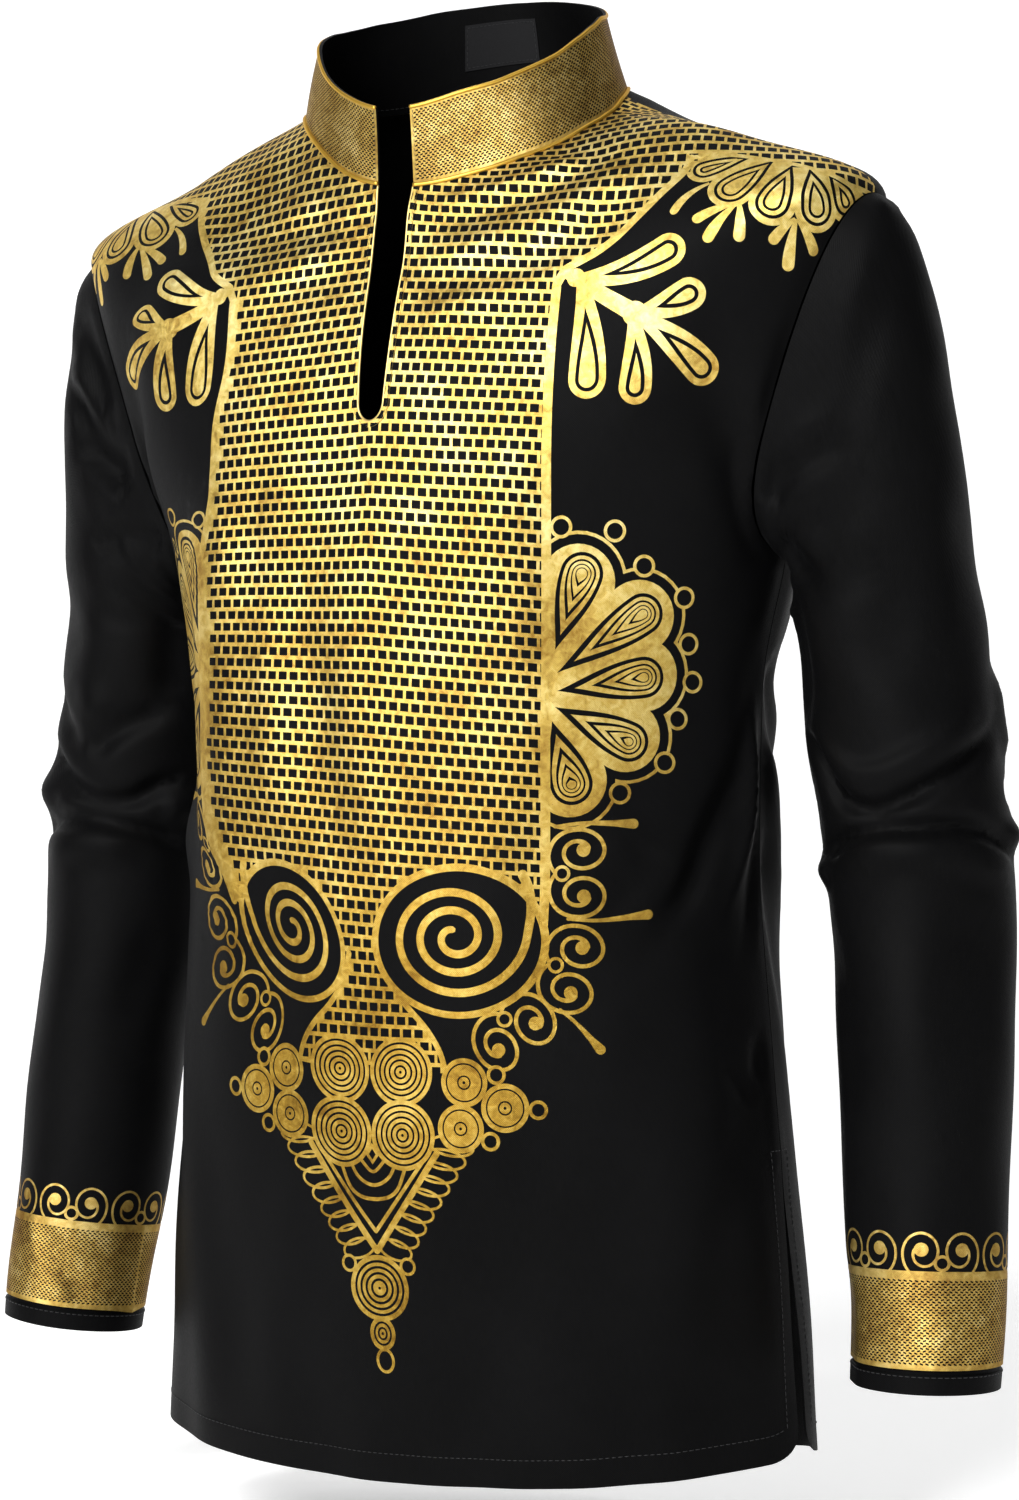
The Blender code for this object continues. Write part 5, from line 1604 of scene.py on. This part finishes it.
def label_finish(name):
    m = Finish(name, Sheen_Weight=0.02, Specular_IOR_Level=0.10)
    at = m.place()
    tone = m.noise(at, 900.0, 2.0)
    m.set("Base Color", m.ramp(tone, ((0.3, (0.0075, 0.0075, 0.0080)), (0.7, (0.012, 0.012, 0.013)))))
    m.set("Roughness", m.remap(tone, 0.3, 0.7, 0.55, 0.7))
    m.bump((m.weave(at, 0.0007, 0.0), 0.0001, 0.5), (tone, 0.0001, 0.3))
    return m.material


BLACK = black_finish("black_satin_poplin")
# the second set of tones is painted light: the gold is paler towards the top of the print than at its foot
GOLD = gold_finish("gold_foil", ((0.17, 0.088, 0.010), (0.345, 0.210, 0.029), (0.55, 0.39, 0.095)), ((0.40, 0.232, 0.040), (0.74, 0.54, 0.14), (0.96, 0.83, 0.38)))
# painted shade: a darker, browner copy of the gold foil for the collar and cuffs, standing in for the darker look their
# foil takes at grazing angles
SHADED_BAND_GOLD = gold_finish("gold_foil_band_painted_shade", ((0.24, 0.135, 0.028), (0.46, 0.31, 0.075), (0.74, 0.57, 0.22)), edge=(0.42, 0.32, 0.34))
INSIDE = black_finish("black_cloth_reverse", 0.7, 0.004)
RIM = black_finish("black_turned_edge", 1.2, 0.02)
PIPING = gold_finish("gold_foil_edge", ((0.42, 0.22, 0.025), (0.74, 0.47, 0.075), (0.94, 0.74, 0.26)))
# a paler gold, used on the rim and fold line of the slit's turned edge
PALE = gold_finish("pale_foil_fold", ((0.50, 0.33, 0.08), (0.76, 0.58, 0.22), (0.92, 0.80, 0.42)))
THREAD = thread_finish("black_thread", (0.007, 0.007, 0.008), 0.05)
LABEL = label_finish("blank_woven_tape")
CLOTH_SLOTS = (BLACK, GOLD, INSIDE, RIM)
BAND_SLOTS = (BLACK, SHADED_BAND_GOLD, INSIDE, RIM)

# =================================================================== pieces
MM = 0.001
places = {"front": body_place(front_surface, front_flat), "back": body_place(back_surface, back_flat),
          "sleeve_left": sleeve_place(sleeve_surfaces["left"]), "sleeve_right": sleeve_place(sleeve_surfaces["right"]),
          "collar": collar_place}
in_metres = lambda shapes: [(p * MM, c) for p, c in shapes]
made, areas = {}, {}


def sleeve_cut(grid):
    """The sleeve laid flat: its girth under the armhole's slant, its longest line from crown to cuff, and its area."""
    girth = np.linalg.norm(np.diff(grid, axis=1), axis=2).sum(1)
    line = np.linalg.norm(np.diff(grid, axis=0), axis=2).sum(0)
    cells = np.cross(grid[1:, :-1] - grid[:-1, :-1], grid[:-1, 1:] - grid[:-1, :-1])
    return float(girth[len(girth) // 4]), float(line.max()), float(np.linalg.norm(cells, axis=2).sum())


def piece(name, outline, shapes, gap, inner_gap, wall, weld=None):
    cloth = Cloth()
    cloth_shell(cloth, outline, in_metres(shapes), places[name], gap, inner_gap, wall, (0, 1), weld=weld)
    made[name] = cloth.object(name + "_cloth", CLOTH_SLOTS if name in ("front", "back") else BAND_SLOTS)
    after = np.roll(outline, -1, axis=0)
    areas[name] = (float(np.ptp(outline[:, 0])), float(np.ptp(outline[:, 1])),
                   abs(float((outline[:, 0] * after[:, 1] - outline[:, 1] * after[:, 0]).sum()) / 2))
    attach(made[name], "root")
    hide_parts(name)
    width, long, area = sleeve_cut(sleeve_surfaces[name[7:]].base) if name.startswith("sleeve") else areas[name]
    width, long = round(width, 3), round(long, 3)
    return made[name]


front_shapes = front_print()
front_outline, front_half = panel_outline("front", front_surface, front_flat)
back_outline, back_half = panel_outline("back", back_surface, back_flat)
piece("front", front_outline, front_shapes, 0.0036, 0.0055, 0.0011)
piece("back", back_outline, shoulder_print(), 0.0044, 0.0055, 0.0011)
FOOT = {"left": 36.6, "right": 35.7}
for side in ("left", "right"):
    piece("sleeve_" + side, sleeve_outline(sleeve_surfaces[side]), cuff_print(FOOT[side]), 0.0031, 0.0060, 0.0011,
          weld=(-SLEEVE_HALF, SLEEVE_HALF))
piece("collar", collar_outline(), collar_print(), 0.0030, 0.0040, 0.0016)


# the turned edge round the neck slit: a narrow strip over the front, with the front's own print on it
EDGE_WIDE = 0.0032


def slit_route(offset, n=44):
    """Half the slit's edge from the neck to its tip on the flat cloth, moved out by an offset."""
    down = np.concatenate([np.linspace(NECK_W - 0.01, SLIT_W + 0.20, n)[:-1], SLIT_W + 0.20 * (1 - np.sin(np.linspace(0, math.pi / 2, 22)))])
    line = np.array([front_surface.read(front_flat, np.array([w]), np.array([slit_half(w) / quarter_length(w, "front")[0]]))[0] for w in down])
    line[-1, 0] = 0.0
    t = unit(np.gradient(line, axis=0))
    t[-1] = (-1, 0)
    out = np.stack([-t[:, 1], t[:, 0]], 1)
    out = np.where((out[:, :1] < 0) & (np.arange(len(out))[:, None] < len(out) - 1), -out, out)
    out[-1] = (0, -1)
    q = line + out * offset
    q[:, 0] = np.maximum(q[:, 0], 0.0)
    q[-1, 0] = 0.0
    return q


def both_sides(half):
    return np.concatenate([half, (half * np.array([-1, 1]))[::-1][1:]])


def lifted(place, height):
    def move(v):
        p, n = place(v)
        return p + n * height, n
    return move


strip_outline = np.concatenate([both_sides(slit_route(-0.0001)), both_sides(slit_route(EDGE_WIDE))[::-1]])
low, high = strip_outline.min(0) - 0.002, strip_outline.max(0) + 0.002
near = [(p, c) for p, c in in_metres(front_shapes)
        if np.all(p.min(0) < high) and np.all(p.max(0) > low) and (len(p) > 8 or np.abs(p[:, 0]).min() < 0.020)]
strip = Cloth()
cloth_shell(strip, strip_outline, near, lifted(places["front"], 0.00062), 0.0030, 0.0030, 0.00045, (0, 1), rim_slot=3)
slit_edge_cloth = strip.object("slit_edge_cloth", (BLACK, GOLD, INSIDE, PALE))
fold_line = Bits()
route = both_sides(slit_route(0.00005, 90))
p, n = places["front"](route)
fold_line.tube(p + n * 0.00022, n, 0.00062, 8)
fold_obj = fold_line.object("slit_edge_fold", PALE)
for o in (slit_edge_cloth, fold_obj):
    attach(o, "root")
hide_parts("slit_edge")
strip_long = float(np.linalg.norm(np.diff(both_sides(slit_route(EDGE_WIDE / 2)), axis=0), axis=1).sum())

# gold edges of the collar
piping = Bits()
w_collar = collar_surf.b[-1]
xs = np.linspace(-w_collar, w_collar, 420)
p, n = collar_place(np.stack([xs, np.full(len(xs), 0.0006)], 1))
piping.tube(p + n * 0.00035, n, 0.00115, 8)
p, n = collar_place(np.stack([xs, np.full(len(xs), COLLAR_TALL - 0.0012)], 1))
piping.tube(p + n * 0.0001, n, 0.00095, 8)
collar_piping = piping.object("collar_gold_edges", PIPING)
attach(collar_piping, "root")

# blank label sewn inside the back of the collar
LABEL_WIDE, LABEL_TALL, LABEL_X, LABEL_LOW = 0.046, 0.0215, -0.019, 0.34


def label_place(v):
    a = 0.001 + (LABEL_LOW * COLLAR_TALL + v[:, 1]) / COLLAR_TALL
    p = collar_surf.read(collar_surf.points, a, v[:, 0] + LABEL_X)
    n = unit(collar_surf.read(collar_surf.normal, a, v[:, 0] + LABEL_X))
    return p - n * 0.00195, -n


tall = LABEL_TALL
label = Cloth()
grid_x, grid_y = np.linspace(-LABEL_WIDE / 2, LABEL_WIDE / 2, 47), np.linspace(0, tall, 23)
gx, gy = np.meshgrid(grid_x, grid_y)
flat_grid = np.stack([gx.ravel(), gy.ravel()], 1)
p, n = label_place(flat_grid)
thick = 0.00045 - 0.00012 * ((np.abs(flat_grid[:, 0]) > LABEL_WIDE / 2 - 0.0012) | (flat_grid[:, 1] < 0.0012) | (flat_grid[:, 1] > tall - 0.0012))
cols = len(grid_x)
ids = np.arange(len(p)).reshape(len(grid_y), cols)
quads = np.stack([ids[:-1, :-1], ids[:-1, 1:], ids[1:, 1:], ids[1:, :-1]], -1).reshape(-1, 4)
tri = np.concatenate([quads[:, [0, 1, 2]], quads[:, [0, 2, 3]]])
top_side = p + n * thick[:, None]
facing = np.cross(top_side[tri[:, 1]] - top_side[tri[:, 0]], top_side[tri[:, 2]] - top_side[tri[:, 0]])
if (facing * n[tri[:, 0]]).sum() < 0:
    tri = tri[:, ::-1]
label.add(top_side, tri, 0, flat_grid[tri], n[tri])
label.add(p, tri[:, ::-1], 0, flat_grid[tri][:, ::-1], -n[tri][:, ::-1])
e = rim_of(tri)
a, b = e[:, 0], e[:, 1]
corner = np.stack([top_side[a], top_side[b], p[b], p[a]], 1)
side_n = unit(np.cross(corner[:, 1] - corner[:, 0], corner[:, 3] - corner[:, 0]))
base = np.arange(len(e)) * 4
rim_tri = np.concatenate([np.stack([base, base + 3, base + 2], 1), np.stack([base, base + 2, base + 1], 1)])
label.add(corner.reshape(-1, 3), rim_tri, 0, np.stack([flat_grid[a], flat_grid[b], flat_grid[b], flat_grid[a]], 1).reshape(-1, 2)[rim_tri],
          np.concatenate([np.repeat(-side_n[:, None], 3, 1)] * 2))
neck_label = label.object("neck_label_tape", (LABEL,))
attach(neck_label, "root")
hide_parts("neck_label")

# =================================================================== stitches
hem_stitch = Bits()
for face, surface, flat in (("front", front_surface, front_flat), ("back", back_surface, back_flat)):
    edge_at = edge_share(0.0, face)[0]
    up = 0.165
    s = np.linspace(-(edge_at - 0.045), edge_at - 0.045, 260)
    w = np.array([hem_section(abs(x), face) * 0.9 for x in s]) + up
    stitch_row(hem_stitch, surface.read(flat, w, s), places[face], pitch=0.0032, length=0.0023, radius=0.00023)
    # along the vents
    for sign in (1, -1):
        w = np.linspace(up + 0.02, VENT_W + 0.06, 60)
        share = edge_share(w, face) - 0.0085 / quarter_length(w, face)
        stitch_row(hem_stitch, surface.read(flat, w, share * sign), places[face], pitch=0.0032, length=0.0023, radius=0.00022)
        share = np.linspace(share[-1], edge_share(w[-1:], face)[0] - 0.0012, 6)
        stitch_row(hem_stitch, surface.read(flat, np.full(6, w[-1]), share * sign), places[face], pitch=0.0028, length=0.0020, radius=0.00022)
for side in ("left", "right"):
    xs = np.linspace(-SLEEVE_HALF, SLEEVE_HALF, 90)
    stitch_row(hem_stitch, np.stack([xs, np.full(90, 0.0088)], 1), places["sleeve_" + side], pitch=0.0032, length=0.0023, radius=0.00022)
fine_stitch = Bits()
stitch_row(fine_stitch, both_sides(slit_route(0.0024, 60)), lifted(places["front"], 0.00062), pitch=0.0026, length=0.0017, radius=0.00016)
# the collar's inner seam line, its front edges and the label
inner = lifted(collar_place, -0.00165)


def turned(place):
    def move(v):
        p, n = place(v)
        return p, -n
    return move


xs = np.linspace(-w_collar + 0.003, w_collar - 0.003, 200)
stitch_row(fine_stitch, np.stack([xs, np.full(200, 0.0030)], 1), turned(inner), pitch=0.0030, length=0.0022, radius=0.00018)
for sign in (1, -1):
    ys = np.linspace(0.0025, COLLAR_TALL - 0.0025, 12)
    stitch_row(fine_stitch, np.stack([np.full(12, sign * (w_collar - 0.0016)), ys], 1), collar_place, pitch=0.0027, length=0.0018, radius=0.00018)
m = 0.0014
box_route = np.array([[-LABEL_WIDE / 2 + m, m], [LABEL_WIDE / 2 - m, m], [LABEL_WIDE / 2 - m, tall - m], [-LABEL_WIDE / 2 + m, tall - m], [-LABEL_WIDE / 2 + m, m]])
for a, b in zip(box_route[:-1], box_route[1:]):
    stitch_row(fine_stitch, np.stack([a, b]), lifted(label_place, 0.00040), pitch=0.0026, length=0.0019, radius=0.00015)
for name, bits in (("hem_stitches", hem_stitch), ("edge_stitches", fine_stitch)):
    o = bits.object(name, THREAD)
    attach(o, "root")

# =================================================================== floor, light and camera
FLOOR_Z = -0.745


def sweep():
    """A floor that curves up into a wall behind the shirt."""
    ys, zs = [-4.0, 1.6], [FLOOR_Z, FLOOR_Z]
    for a in np.linspace(0, math.pi / 2, 17)[1:]:
        ys.append(1.6 + 1.4 * math.sin(a))
        zs.append(FLOOR_Z + 1.4 * (1 - math.cos(a)))
    ys.append(3.0)
    zs.append(4.5)
    turn = math.radians(30)
    pts, faces = [], []
    for y, z in zip(ys, zs):
        for x in np.linspace(-4.5, 4.5, 10):
            pts.append((x * math.cos(turn) - y * math.sin(turn), x * math.sin(turn) + y * math.cos(turn), z))
    for i in range(len(ys) - 1):
        for j in range(9):
            k = i * 10 + j
            faces.append((k, k + 1, k + 11, k + 10))
    mesh = bpy.data.meshes.new("studio_floor")
    mesh.from_pydata(pts, [], faces)
    mesh.update()
    mesh.polygons.foreach_set("use_smooth", np.ones(len(mesh.polygons), bool))
    m = Finish("studio_paper", Roughness=0.85)
    tone = m.noise(m.node("ShaderNodeTexCoord").outputs["Object"], 1.5, 2.0)
    m.set("Base Color", m.ramp(tone, ((0.3, (0.83, 0.83, 0.83)), (0.7, (0.86, 0.86, 0.86)))))
    m.shader.inputs["Emission Color"].default_value = (1, 1, 1, 1)
    m.shader.inputs["Emission Strength"].default_value = 0.48
    mesh.materials.append(m.material)
    obj = bpy.data.objects.new("studio_floor", mesh)
    bpy.context.scene.collection.objects.link(obj)
    return obj


sweep()


def area_light(name, place, target, size, power, colour=(1, 1, 1)):
    data = bpy.data.lights.new(name, "AREA")
    data.shape = "RECTANGLE"
    data.size, data.size_y = size
    data.energy = power
    data.color = colour
    obj = bpy.data.objects.new(name, data)
    obj.location = place
    obj.rotation_euler = (Vector(target) - Vector(place)).to_track_quat("-Z", "Y").to_euler()
    bpy.context.scene.collection.objects.link(obj)
    return obj


middle = (0.0, 0.0, -0.33)
LIGHT_COLUMNS = ("place", "size", "power")
LIGHTS = {
    "key":        ((-0.10, -2.25, 0.90), (1.0, 1.2), 92),
    "right_fill": ((2.60, -0.70, 0.10), (0.6, 1.8), 8),
    "camera_fill": ((1.35, -2.60, 0.90), (1.0, 0.8), 4),
    "left_edge":  ((-2.10, 0.35, 0.20), (0.4, 1.8), 4),
    "top":        ((0.10, 0.20, 1.90), (1.2, 1.2), 7),
}
for name, (at, size, power) in LIGHTS.items():
    area_light(name, at, middle, size, power)
world = bpy.data.worlds.new("studio")
bpy.context.scene.world = world
world.use_nodes = True
world.node_tree.nodes["Background"].inputs["Color"].default_value = (1.0, 1.0, 1.0, 1)
world.node_tree.nodes["Background"].inputs["Strength"].default_value = 0.11

turn = math.radians(30)
right_way, back_way = Vector((math.cos(turn), math.sin(turn), 0)), Vector((math.sin(turn), -math.cos(turn), 0))
camera_data = bpy.data.cameras.new("camera")
camera = bpy.data.objects.new("camera", camera_data)
bpy.context.scene.collection.objects.link(camera)
camera.location = back_way * 2.0 + right_way * 0.02834 + Vector((0, 0, -0.377))
camera.rotation_euler = (math.radians(90), 0, turn)
camera_data.sensor_fit = "VERTICAL"
camera_data.sensor_height = 24.0
camera_data.lens = 61.54
camera_data.shift_y = 0.0487
camera_data.clip_start = 0.05
camera_data.dof.use_dof = False
bpy.context.scene.camera = camera
bpy.context.scene.view_settings.view_transform = "Standard"
